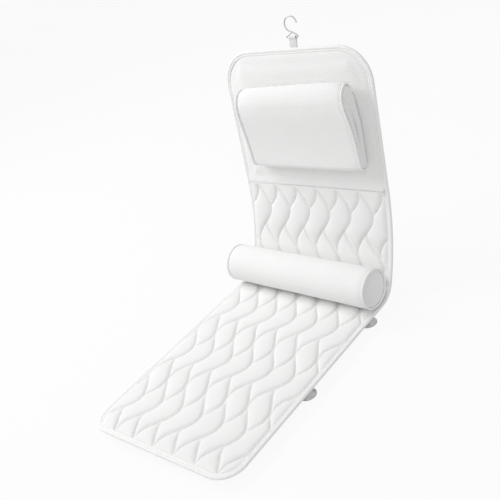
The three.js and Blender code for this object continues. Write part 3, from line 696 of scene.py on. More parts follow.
@dataclass(frozen=True)
class GrainFinish(Finish):
    """A finish whose grain is noise on the piece: thread, loop pile, clear vinyl or bright wire."""

    grain: float
    roughness: tuple[float, float]
    relief: float
    metallic: float = 0.0
    transmission: float = 0.0
    ior: float = 1.5
    stretch: tuple[float, float, float] = (1.0, 1.0, 1.0)

    def draw(self, tree: Tree) -> None:
        """Draw the grain, stretched where the finish says so."""
        place = node(tree, "ShaderNodeTexCoord").outputs["Object"]
        turned = node(tree, "ShaderNodeMapping", {"Vector": place, "Scale": self.stretch}).outputs["Vector"]
        grain = noise(tree, turned, self.grain, 3.0)
        rough = {"Value": grain, "To Min": self.roughness[0], "To Max": self.roughness[1]}
        relief = {"Strength": 0.5, "Distance": self.relief * MM, "Height": grain}
        others = {"Metallic": self.metallic, "Transmission Weight": self.transmission, "IOR": self.ior}
        self.shade(tree, grain, rough, relief, others)


# Spacer mesh: cells about 3 mm apart give rows of faint dots of painted shade; drawn at 4.2 mm so that they
# show
COVER_MESH = KnitFinish("knitted_spacer_mesh", Slot.COVER, "#F4F4F3", "#D9DADB", 4.2)
# Lining mesh of the underside: coarser and greyer, with painted shade in its open cells
LINING_MESH = KnitFinish("backing_mesh", Slot.LINING, "#ECECEA", "#C9CACB", 6.0, 0.7, 0.9, 0.5)
# Twill edge tape: ribs of about 0.7 mm, with painted shade in their furrows, give a fine line; drawn at 1.6
# mm
EDGE_TAPE = WovenFinish("woven_edge_tape", Slot.TAPE, "#FAFAF9", "#EAEAEA", 1.6)
# Webbing: heavier ribs of about 1 mm with painted shade in their furrows, drawn at 1.8 mm
WEBBING = WovenFinish("hanging_webbing", Slot.TAPE, "#F2F2F0", "#D6D7D7", 1.8, 0.7, 0.4)
# Polyester thread: a little brighter and smoother than the cloth
THREAD = GrainFinish("polyester_thread", None, "#FAFAF9", "#EDEDEC", 0.8, (0.55, 0.7), 0.05)
# Hook-and-loop pile: dull and rough, with a short nap
LOOP_PILE = GrainFinish("hook_and_loop_pile", Slot.GRIP, "#EFEFED", "#CFCFCD", 0.9, (0.9, 1.0), 0.6)
# Clear soft vinyl, moulded: see-through, with a smooth wet gloss
CUP_VINYL = GrainFinish(
    "clear_soft_vinyl", Slot.CUP, "#E2E3E3", "#D2D3D4", 6.0, (0.12, 0.24), 0.05, transmission=0.4, ior=1.53
)
# Bright nickel on drawn steel wire, with faint lengthwise drawing marks
NICKEL_WIRE = GrainFinish(
    "bright_nickel_wire", Slot.WIRE, "#C6C6C6", "#B2B2B3", 0.6, (0.3, 0.45), 0.02, 1.0, stretch=(1, 1, 0.1)
)


def dress(piece: Piece, finish: Finish, nodes: Sequence[str], rider: Body | Fold) -> Piece:
    """Give a piece its finish, hide the frame nodes that it replaces and set its place in the frame.

    Args:
        piece: The finished mesh object.
        finish: What it is made of.
        nodes: Frame nodes that it replaces, if any.
        rider: The body that it rides on, or the fold that it bends round.

    Returns:
        The piece.
    """
    piece.data.materials.clear()
    piece.data.materials.append(finish.material())
    if nodes:
        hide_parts(*nodes)
    if isinstance(rider, Fold):
        rider.bend(piece)
    else:
        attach(piece, rider.value)
    LOG.info("%s: %d faces", piece.name, len(piece.data.polygons))
    return piece


# Repeats made by geometry nodes


class RepeatTree:
    """A geometry node tree with named inputs, turned into plain meshes."""

    def __init__(self, name: str, inputs: dict[str, str]) -> None:
        """Start a tree.

        Args:
            name: The tree's name.
            inputs: Input names with what they hold.
        """
        self.tree = bpy.data.node_groups.new(name, "GeometryNodeTree")
        face = self.tree.interface
        self.keys = {}
        for key, kind in {"Geometry": "Geometry", **inputs}.items():
            socket = face.new_socket(key, in_out="INPUT", socket_type=f"NodeSocket{kind}")
            self.keys[key] = socket.identifier
        face.new_socket("Geometry", in_out="OUTPUT", socket_type="NodeSocketGeometry")
        self.entry = node(self.tree, "NodeGroupInput").outputs

    def scatter(self, material: Socket, aim: Socket, feeds: dict[str, Socket]) -> None:
        """End the tree in real copies of a shape on points.

        Args:
            material: What the copies are made of.
            aim: The way that each copy's Z axis points.
            feeds: The points, the shape and what else the copies take.
        """
        tree = self.tree
        turn = node(tree, "FunctionNodeAlignRotationToVector", {"Vector": aim}, axis="Z").outputs["Rotation"]
        row = node(tree, "GeometryNodeInstanceOnPoints", feeds | {"Rotation": turn}).outputs["Instances"]
        real = node(tree, "GeometryNodeRealizeInstances", {"Geometry": row}).outputs["Geometry"]
        dressed = node(tree, "GeometryNodeSetMaterial", {"Geometry": real, "Material": material})
        node(tree, "NodeGroupOutput", {"Geometry": dressed.outputs["Geometry"]})

    def make(self, name: str, guide: bpy.types.Mesh, values: dict[str, Any]) -> Piece:
        """Run the tree on a guide mesh.

        Args:
            name: The piece's name.
            guide: Mesh whose points or edges guide the repeats.
            values: Input values by name.

        Returns:
            A plain mesh object.
        """
        made = link(name, guide)
        modifier = made.modifiers.new("repeat", "NODES")
        modifier.node_group = self.tree
        for key, value in values.items():
            modifier[self.keys[key]] = value
        depsgraph = bpy.context.evaluated_depsgraph_get()
        mesh = bpy.data.meshes.new_from_object(made.evaluated_get(depsgraph))
        made.modifiers.clear()
        made.data = mesh
        mesh.name = name
        mesh.polygons.foreach_set("use_smooth", [True] * len(mesh.polygons))
        return made


class Stitching:
    """Rows of thread stitches along lines on the cloth."""

    # Share of the pitch from a stitch's middle to its end
    FILL = 0.38

    def __init__(self) -> None:
        """Build the tree once for all rows."""
        kinds = {"Pitch": "Float", "Stitch size": "Vector", "Thread": "Material"}
        self.repeat = RepeatTree("stitch_row", kinds)
        tree, entry = self.repeat.tree, self.repeat.entry
        curve = node(tree, "GeometryNodeMeshToCurve", {"Mesh": entry["Geometry"]}).outputs["Curve"]
        spread = {"Curve": curve, "Length": entry["Pitch"]}
        spots = node(tree, "GeometryNodeResampleCurve", spread, mode="LENGTH").outputs["Curve"]
        ball = {"Segments": 6, "Rings": 4, "Radius": 1.0}
        stitch = node(tree, "GeometryNodeMeshUVSphere", ball).outputs["Mesh"]
        ahead = node(tree, "GeometryNodeInputTangent").outputs["Tangent"]
        feeds = {"Points": spots, "Instance": stitch, "Scale": entry["Stitch size"]}
        self.repeat.scatter(entry["Thread"], ahead, feeds)

    def sew(self, name: str, lines: Sequence[Array], rider: Body | Fold, pitch: float, thread: float) -> None:
        """Sew rows of stitches.

        Args:
            name: The piece's name.
            lines: Points of each row in the frame.
            rider: What the stitches ride on.
            pitch: Distance from stitch to stitch.
            thread: Radius of the thread.
        """
        points, edges = [], []
        for line in lines:
            first = len(points)
            points.extend((line * MM).tolist())
            edges.extend((first + i, first + i + 1) for i in range(len(line) - 1))
        guide = bpy.data.meshes.new(name)
        guide.from_pydata(points, edges, [])
        size = (thread * MM, thread * MM, self.FILL * pitch * MM)
        values = {"Pitch": pitch * MM, "Stitch size": size, "Thread": THREAD.material()}
        dress(self.repeat.make(name, guide, values), THREAD, (), rider)


STITCHING = Stitching()


# Cloth that swells between its stitches


def swell(points: Array, pins: Array, pressure: float, frames: int = 18) -> Array:
    """Blow up a pinned grid of cloth and give how far each point moved.

    Args:
        points: Grid of points, in millimetres.
        pins: How firmly each point is held, from 0 to 1.
        pressure: Push of the padding.
        frames: Steps of the simulation.

    Returns:
        The moves, in millimetres, in the shape of the grid.
    """
    least_pin = 0.02
    shell = Shell()
    shell.skin(shell.add(points))
    cloth = bpy.data.meshes.new("swelling_cloth")
    cloth.from_pydata((points.reshape(-1, 3) * MM).tolist(), [], shell.faces)
    piece = link("swelling_cloth", cloth)
    held = piece.vertex_groups.new(name="held")
    for i, weight in enumerate(pins.ravel().tolist()):
        if weight > least_pin:
            held.add([i], min(1.0, weight), "REPLACE")
    modifier = piece.modifiers.new("cloth", "CLOTH")
    settings = modifier.settings
    settings.quality = 5
    settings.use_pressure = True
    settings.uniform_pressure_force = pressure
    settings.bending_stiffness = 0.5
    settings.effector_weights.gravity = 0
    settings.vertex_group_mass = held.name
    modifier.collision_settings.use_collision = False
    modifier.point_cache.frame_start = 1
    modifier.point_cache.frame_end = frames
    scene = bpy.context.scene
    for step in range(1, frames + 1):
        scene.frame_set(step)
    blown = piece.evaluated_get(bpy.context.evaluated_depsgraph_get()).to_mesh()
    after = np.zeros(points.size, np.float32)
    blown.vertices.foreach_get("co", after)
    scene.frame_set(1)
    bpy.data.objects.remove(piece)
    bpy.data.meshes.remove(cloth)
    return after.reshape(points.shape) / MM - points


@dataclass(frozen=True)
class PaddedPanel:
    """One padded section of the mat: cloth over padding, stitched in waves or plain."""

    name: str
    body: Body
    nodes: tuple[str, ...]
    fold_t: float
    direction: int
    length: float
    corner: float
    quilting: WaveQuilting | None
    step: float
    # Depths of the sewn cloth: in the channels, at the folds and at the bound edge
    channel: float = 5.4
    fold_rim: float = 2.2
    fold_clear: float = 9.0
    fold_reach: float = 9.0
    lip: float = 0.8
    edge_rim: float = 6.2
    edge_reach: float = 9.0
    # How the cloth swells, and how it creases at the stitches
    roll: float = 0.0
    pin_reach: float = 2.0
    crease: float = 1.6
    groove: float = 1.5
    groove_reach: float = 1.4
    groove_clear: float = 5.0
    cloth_step: float = 3.6
    quick_reach: float = 11.0
    pressure: float = 20.0
    evenness: float = 0.5
    fullest: float = 1.2
    corner_ease: float = 1.08
    corner_rows: float = 1.3
    wall_rings: int = 5
    rear_columns: int = 33
    # The quilting stitches
    stitch_step: float = 3.0
    stitch_inset: float = 3.0
    stitch_lift: float = 0.2
    stitch_pitch: float = 4.5
    thread: float = 0.32

    @property
    def end(self) -> float:
        """Distance from the fold to the far rim of the padding."""
        return self.length - (MAT.binding + MAT.gap if self.corner else self.lip)

    @property
    def inner_corner(self) -> float:
        """Corner radius of the padding inside the edge tape."""
        return self.corner_ease * (self.corner - MAT.binding - MAT.gap) if self.corner else 0.0

    def half(self, s: Array) -> Array:
        """Half the width of the padding at a distance from the fold."""
        c = self.inner_corner
        inset = np.clip(c - (self.end - s), 0, c)
        return MAT.pad_half - c + np.sqrt(np.maximum(c * c - inset * inset, 0))

    def rows(self, step: float) -> Array:
        """Distances of the rows from the fold, closer together round the corners."""
        c = self.inner_corner
        rows = even(self.lip, self.end - c, step)
        if c:
            turns = np.linspace(0, math.pi / 2, round(self.corner_rows * c / step) + 1)[1:]
            rows = np.concatenate([rows, self.end - c + c * np.sin(turns)])
        return rows

    def columns(self, step: float) -> Array:
        """Shares of the half width, from side to side."""
        return even(-1, 1, step / MAT.pad_half)

    def spots(self, s: Array, u: Array) -> tuple[Array, Array]:
        """Grids of x and of the distance from the fold, for rows and shares of the half width."""
        return np.broadcast_arrays(u * self.half(s)[:, None], s[:, None])

    def t(self, s: Array) -> Array:
        """Distance up the mat at a distance from this panel's fold."""
        return self.fold_t + self.direction * s

    def rim(self, x: Array, s: Array) -> Array:
        """Distance to the nearest rim where the cloth is sewn down."""
        return np.minimum(self.half(s) - np.abs(x), np.minimum(self.end - s, s - self.lip))

    def held(self, x: Array, s: Array) -> Array:
        """Distance to the nearest place where the cloth is sewn down, rims and stitches alike."""
        rim = self.rim(x, s)
        return np.minimum(rim, self.quilting.distance(x, self.t(s))) if self.quilting else rim

    def lift(self, distance: Array) -> Array:
        """How far the sewn cloth rises towards a fold, at a distance from it."""
        return (self.channel - self.fold_rim) * bell(distance, self.fold_reach)

    def fullness(self, s: Array, u: Array) -> Array:
        """How full the padding stands, from 0 at a stitch to about 1 at a crest.

        Args:
            s: Distances of the rows from the fold.
            u: Shares of the half width.

        Returns:
            Fullness at every row and column.
        """
        coarse_s, coarse_u = self.rows(self.cloth_step), self.columns(self.cloth_step)
        x, y = self.spots(coarse_s, coarse_u)
        pins = bell(self.held(x, y), self.pin_reach)
        rise = np.abs(swell(np.stack([x, y, np.zeros_like(x)], -1), pins, self.pressure)[..., 2])
        row_at = np.interp(s, coarse_s, np.arange(len(coarse_s)))
        column_at = np.interp(u, coarse_u, np.arange(len(coarse_u)))
        full = resample(rise / np.percentile(rise, 95), row_at, column_at)
        return np.clip(full, 0, self.fullest) ** self.evenness

    def front(self, s: Array, u: Array) -> Array:
        """Depth of the front cloth at every row and column."""
        x, rows = self.spots(s, u)
        near = self.held(x, rows)
        full = self.fullness(s, u) * (1 - np.exp(-near / self.crease))
        if self.roll:
            full = np.maximum(full, 1 - bell(near, self.roll))
        side = bell(self.half(rows) - np.abs(x), self.edge_reach)
        base = self.channel + (self.edge_rim - self.channel) * side
        base = base - self.lift(rows - self.lip)
        if not self.corner:
            base = base - self.lift(self.end - rows)
        if self.quilting:
            line = bell(self.quilting.distance(x, self.t(rows)), self.groove_reach)
            base = base + self.groove * line * (1 - bell(self.rim(x, rows), self.groove_clear))
        return base * (1 - full)

    def build(self) -> None:
        """Its walls slant away from the folds, and its rear is drawn forward at the bound edge.
        """
        s, u = self.rows(self.step), self.columns(self.step)
        x, rows = self.spots(s, u)
        t, depth = self.t(rows), self.front(s, u)
        low = MAT.rear_start
        high = self.end if self.corner else self.length - low
        rear_s = low + (high - low) * (s - s[0]) / (s[-1] - s[0])
        shell = Shell()
        front = shell.add(MAT.place(x, t, depth))
        shell.skin(front, x, t)
        share = np.linspace(0, 1, self.wall_rings)[1:]
        slide = s[:, None] + (rear_s - s)[:, None] * share
        foot = MAT.core_base - MAT.pinch
        sides = []
        for column in (0, -1):
            edge_x, edge = x[:, column, None], depth[:, column, None]
            wall = shell.add(MAT.place(edge_x, self.t(slide), edge + (foot - edge) * share))
            shell.skin(np.hstack([front[:, column, None], wall]), edge_x, self.t(slide[:, :1]))
            sides.append(wall)
        across = np.sin(np.linspace(-1, 1, self.rear_columns) * math.pi / 2)
        rear_x = across * self.half(s)[:, None]
        rear_t = np.broadcast_to(self.t(rear_s)[:, None], rear_x.shape)
        rear_depth = MAT.drawn(MAT.core_base, edge_distance(rear_x, rear_t))
        inner = shell.add(MAT.place(rear_x, rear_t, rear_depth)[:, 1:-1])
        shell.skin(np.hstack([sides[0][:, -1:], inner, sides[1][:, -1:]]), rear_x, rear_t)
        for row in (0, -1):
            shell.cap([*front[row], *sides[1][row], *inner[row][::-1], *sides[0][row][::-1]])
        piece = dress(shell.build(self.name), COVER_MESH, self.nodes, self.body)
        if self.quilting:
            self.sew()

    def sew(self) -> None:
        """Sew the quilting stitches into the valleys, up to a little before the folds."""
        s = self.rows(self.stitch_step)
        s = s[(s > self.fold_clear) & ((s < self.end - self.fold_clear) | bool(self.corner))]
        lines = []
        for run in self.quilting.runs(self.t(s), self.half(s) - self.stitch_inset):
            rows = self.direction * (run[:, 1] - self.fold_t)
            base = self.channel + self.groove - self.stitch_lift - self.lift(rows - self.lip)
            lines.append(MAT.place(run[:, 0], run[:, 1], base))
        STITCHING.sew(f"{self.name}_stitches", lines, self.body, self.stitch_pitch, self.thread)


SEAT_WAVES = WaveQuilting(origin=-(MAT.bend_arc + 0.5 * MAT.seat_run), offset=9.0)
LUMBAR_WAVES = WaveQuilting(
    origin=MAT.lumbar - 57.0, offset=17.0, cross_swing=22.0, cross_lead=44.0, cross_share=0.41
)
PANELS = (
    PaddedPanel(
        "seat_pad", Body.SEAT, ("seat_quilt", "seat_core"), 0.0, -1, MAT.seat, 50.0, SEAT_WAVES, 1.6, lip=1.3
    ),
    PaddedPanel(
        "lumbar_pad", Body.BACK, ("lumbar_quilt", "lumbar_core"), 0.0, 1, MAT.lumbar, 0.0, LUMBAR_WAVES, 1.6
    ),
    PaddedPanel(
        "head_pad", Body.HEAD, ("head_cover", "head_core"), MAT.lumbar, 1, MAT.head, 75.0, None, 3.0,
        channel=6.6, fold_rim=2.6, fold_reach=14.0, edge_rim=6.6, roll=24.0, cloth_step=6.0,
    ),
)


def half_width(t: Array) -> Array:
    """Half the width of the padding at a place up the mat."""
    seat, _, head = PANELS
    return np.where(t < 0, seat.half(-t), head.half(np.maximum(t - MAT.lumbar, 0)))


def edge_distance(x: Array, t: Array) -> Array:
    """Distance inward from the padding's rim, folds apart, at places across and up the mat."""
    seat, _, head = PANELS
    ends = np.where(t < 0, seat.end + t, head.end - np.maximum(t - MAT.lumbar, 0))
    return np.maximum(np.minimum(half_width(t) - np.abs(x), ends), 0)


@dataclass(frozen=True)
class EdgeTape:
    """Folded tape that binds the mat's edge, in two lengths that meet half way up the lumbar panel.

    The outline and the seams are given as distance outward and depth.
    """

    step: float = 3.0
    lay: float = 8.0
    pucker: float = 0.22
    pucker_pitch: float = 11.0
    pucker_sink: float = 0.7
    pucker_from: float = 0.5
    drift: float = 1.7
    drift_run: float = 47.0
    overlap_x: float = 17.0
    overlap_run: float = 14.0
    overlap_ease: float = 0.8
    overlap_rise: float = 0.9
    overlap_depth: float = 10.0
    stitch_pitch: float = 3.6
    thread: float = 0.4
    seams: Pairs = ((1.9, 6.0), (-0.6, 11.1))
    outline: Pairs = (
        (0.0, 7.5), (-1.2, 7.2), (-1.9, 6.5), (-1.6, 5.5), (-0.6, 5.1), (1.0, 5.2), (1.9, 6.0), (2.6, 5.4),
        (4.6, 4.3), (6.8, 4.7), (8.4, 5.9), (9.1, 7.4), (8.9, 8.9), (7.9, 10.1), (6.2, 10.8), (3.8, 11.0),
        (1.2, 10.7), (-0.4, 10.8), (-2.0, 11.4), (-2.7, 11.0), (-1.6, 10.5), (0.0, 9.4),
    )

    def side(self, sign: int, start: float, end: float) -> Array:
        """Stations up one straight side: x, t and the outward direction."""
        t = even(start, end, self.step)
        return np.stack(np.broadcast_arrays(sign * (MAT.width / 2 - MAT.binding), t, float(sign), 0.0), 1)

    def bow(self, end: float, corner: float, direction: int) -> Array:
        """Stations round two corners and the end edge between them, from left to right."""
        radius = corner - MAT.binding
        turn = even(0, math.pi / 2, self.step / corner)
        out_x, out_t = np.cos(turn), np.sin(turn) * direction
        x = MAT.width / 2 - corner + radius * out_x
        t = end + direction * (radius * np.sin(turn) - corner)
        right = np.stack([x, t, out_x, out_t], 1)
        left = right * np.array([-1, 1, -1, 1])
        straight = even(left[-1, 0], right[-1, 0], self.step)[1:-1]
        flat = np.stack(np.broadcast_arrays(straight, t[-1], 0.0, float(direction)), 1)
        return np.vstack([left, flat, right[::-1]])

    @staticmethod
    def beside(stations: Array, out: Any, depth: Any) -> Array:
        """Points at distances outward of each station, and at depths."""
        x, t, out_x, out_t = stations.T[..., None]
        return MAT.place(x + out_x * out, t + out_t * out, depth)

    def sweep(self, name: str, stations: Array, overlap: float) -> Piece:
        """Sweep the folded outline along stations, with the puckers of its stitches.

        Args:
            name: The piece's name.
            stations: x, t and the outward direction of each station.
            overlap: How far the tape's lapped end stands out, on the front edge.

        Returns:
            The tape.
        """
        section = spline(self.outline, 64, closed=True)
        out, depth = section.T
        along = travel(MAT.place(stations[:, 0], stations[:, 1], self.lay))
        wave = np.sin(ROUND * along / self.pucker_pitch + self.drift * np.sin(along / self.drift_run))
        outer = (out > self.pucker_from) * np.sin(np.clip(out / MAT.binding, 0, 1) * math.pi / 2)
        puffed = self.pucker * wave[:, None] * outer
        x, _, _, out_t = stations.T[..., None]
        # Only the straight end edge is lapped
        lapped = (np.abs(out_t) > 0.99) & (x > self.overlap_x - self.overlap_run)
        lap = lapped * overlap / (1 + np.exp((x - self.overlap_x) / self.overlap_ease))
        sunk = depth - self.pucker_sink * puffed - lap * (depth < self.overlap_depth)
        points = self.beside(stations, out + puffed + lap, sunk)
        return sleeve(name, points, travel(section, closed=True), along[:, None], sharp=70)

    def build(self) -> None:
        """Make both lengths of tape and their stitches."""
        seat, _, head = PANELS
        bottom, top = self.bow(-MAT.seat, seat.corner, -1), self.bow(MAT.top, head.corner, 1)
        bindings = ("seat_binding", "lumbar_binding_left", "lumbar_binding_right")
        for name, bow, overlap, nodes, fold in (
            ("edge_tape_lower", bottom, self.overlap_rise, bindings, BACK_FOLD),
            ("edge_tape_upper", top, 0.0, ("head_binding",), HEAD_FOLD),
        ):
            left = self.side(-1, MAT.joint_t, bow[0, 1])[:-1]
            right = self.side(1, bow[-1, 1], MAT.joint_t)[1:]
            stations = np.vstack([left, bow, right])
            dress(self.sweep(name, stations, overlap), EDGE_TAPE, nodes, fold)
            rows = [self.beside(stations, *seam)[:, 0] for seam in self.seams]
            STITCHING.sew(f"{name}_stitches", rows, fold, self.stitch_pitch, self.thread)


@dataclass(frozen=True)
class Lining:
    """Mesh lining on the underside, in two lengths that meet half way up the lumbar panel."""

    step: float = 3.6
    thickness: float = 1.2
    bulge: float = 1.1
    bulge_reach: float = 10.0
    valley: float = 16.0
    seam_reach: float = 5.0
    edge_ease: float = 1.5
    fold_lap: float = 1.2

    def build(self) -> None:
        """Make both lengths of lining."""
        seat, lumbar, head = PANELS
        lower = (-seat.rows(self.step), even(-self.fold_lap, MAT.joint_t, self.step))
        upper = (even(MAT.joint_t, MAT.lumbar + self.fold_lap, self.step), MAT.lumbar + head.rows(self.step))
        self.length("lining_lower", lower, ("seat_backing",), BACK_FOLD, (seat, lumbar))
        self.length("lining_upper", upper, ("lumbar_backing", "head_backing"), HEAD_FOLD, (lumbar, head))

    def rear(self, x: Array, t: Array) -> Array:
        """Depth of the lining's rear face."""
        near = np.where(t < 0, SEAT_WAVES.distance(x, t), LUMBAR_WAVES.distance(x, t))
        full = np.where(t > MAT.lumbar, 1.0, 1 - bell(near, self.bulge_reach))
        seams = np.minimum(np.abs(t), np.abs(t - MAT.lumbar))
        edge = edge_distance(x, t)
        full = full * (1 - bell(edge, self.edge_ease * MAT.pinch_reach)) * (1 - bell(seams, self.seam_reach))
        return MAT.drawn(self.valley + self.bulge * full, edge)

    def length(
        self, name: str, runs: Sequence[Array], nodes: Sequence[str], fold: Fold, pads: Sequence[PaddedPanel]
    ) -> None:
        """Make one length of lining.

        Args:
            name: The piece's name.
            runs: Distances of its rows up the mat.
            nodes: Frame nodes that it stands for.
            fold: The fold that it bends round.
            pads: The pads that it lies on.
        """
        t = np.unique(np.concatenate(runs))
        half = half_width(t)
        x, rows = np.broadcast_arrays(PANELS[0].columns(self.step) * half[:, None], t[:, None])
        rear = self.rear(x, rows)
        faces = (MAT.place(x, rows, depth) for depth in (rear, rear - self.thickness))
        piece = dress(slab(name, *faces, x, rows), LINING_MESH, nodes, fold)
        rests = [pad.name for pad in pads]


@dataclass(frozen=True)
class SuctionCups:
    """Moulded vinyl cups on the underside, one mesh for each body."""

    radius: float = 18.5
    height: float = 12.0
    neck: float = 4.0
    middle: float = 5.0
    turns: int = 40

    def cup(self) -> Piece:
        """One cup, drawn along +Z from the lining, as a template."""
        r, h, n = self.radius, self.height, self.neck
        profile = [
            (0.05, -2.6), (6.2, -2.6), (7.0, -2.0), (6.6, -1.2), (n, -0.7), (n, 0.2), (5.6, 0.5), (8.2, 0.7),
            (9.0, 1.6), (9.4, 2.4), (10.6, 4.4), (12.6, 6.6), (15.0, 8.6), (17.2, 10.2), (r, 11.2),
            (r + 0.1, 11.9), (r - 0.8, h + 0.3), (r - 2.0, h + 0.1), (15.2, 10.6), (12.6, 8.6), (10.2, 6.8),
            (8.4, 5.2), (6.6, 4.4), (3.0, 4.1), (0.05, 4.0),
        ]
        out, up = np.array(profile).T[..., None]
        turn = circle(self.turns)
        points = np.stack(np.broadcast_arrays(out * np.cos(turn), out * np.sin(turn), up), -1)
        around = np.linspace(0, ROUND * r, self.turns + 1)
        return sleeve("cup_template", points, around, up, sharp=75)

    def build(self) -> None:
        """Set the cups under each section."""
        repeat = RepeatTree("cup_row", {"Cup": "Object", "Vinyl": "Material"})
        tree, entry = repeat.tree, repeat.entry
        shape = node(tree, "GeometryNodeObjectInfo", {"Object": entry["Cup"]}).outputs["Geometry"]
        aim = node(tree, "GeometryNodeInputNamedAttribute", {"Name": "outward"}, data_type="FLOAT_VECTOR")
        feeds = {"Points": entry["Geometry"], "Instance": shape}
        repeat.scatter(entry["Vinyl"], aim.outputs["Attribute"], feeds)
        template = self.cup()
        values = {"Cup": template, "Vinyl": CUP_VINYL.material()}
        for name, body, count in (("seat", Body.SEAT, 8), ("lumbar", Body.BACK, 2), ("head", Body.HEAD, 4)):
            nodes = [f"{name}_cup_{i + 1}" for i in range(count)]
            guide = bpy.data.meshes.new(f"{name}_cups")
            spots, aims = zip(*(self.spot(n) for n in nodes))
            guide.from_pydata([tuple(p) for p in spots], [], [])
            outward = guide.attributes.new("outward", "FLOAT_VECTOR", "POINT")
            outward.data.foreach_set("vector", [c for a in aims for c in a])
            dress(repeat.make(f"{name}_cups", guide, values), CUP_VINYL, nodes, body)
        bpy.data.objects.remove(template)

    def spot(self, name: str) -> tuple[Vector, Vector]:
        """Where the cup of a node leaves the lining, in metres, and the way that it points."""
        low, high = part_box(name)
        middle = np.array((low + high) / 2) / MM
        t = np.linspace(-MAT.seat, MAT.top, 6000)
        line = MAT.place(middle[0], t, MAT.backing_base + self.middle)
        best = float(t[np.argmin(np.linalg.norm(line - middle, axis=1))])
        foot, beyond = (MAT.point(middle[0], best, MAT.backing_base + out) for out in (0.0, 1.0))
        return foot, (beyond - foot).normalized()


@dataclass(frozen=True)
class FoldSeams:
    """Fine sewn cords in the valleys of the two folds."""

    radius: float = 0.65
    depth: float = 1.8
    step: float = 1.6

    def build(self) -> None:
        """Make both cords."""
        x = even(-MAT.pad_half, MAT.pad_half, self.step)
        for name, fold in (("back", BACK_FOLD), ("head", HEAD_FOLD)):
            path = MAT.place(x, fold.t, self.depth)
            across = MAT.place(0, fold.t, self.depth + 1) - MAT.place(0, fold.t, self.depth)
            cord = planar_tube(f"{name}_seam_cord", path, across, self.radius, 10)
            dress(cord, EDGE_TAPE, (f"{name}_fold_seam",), fold.lower)


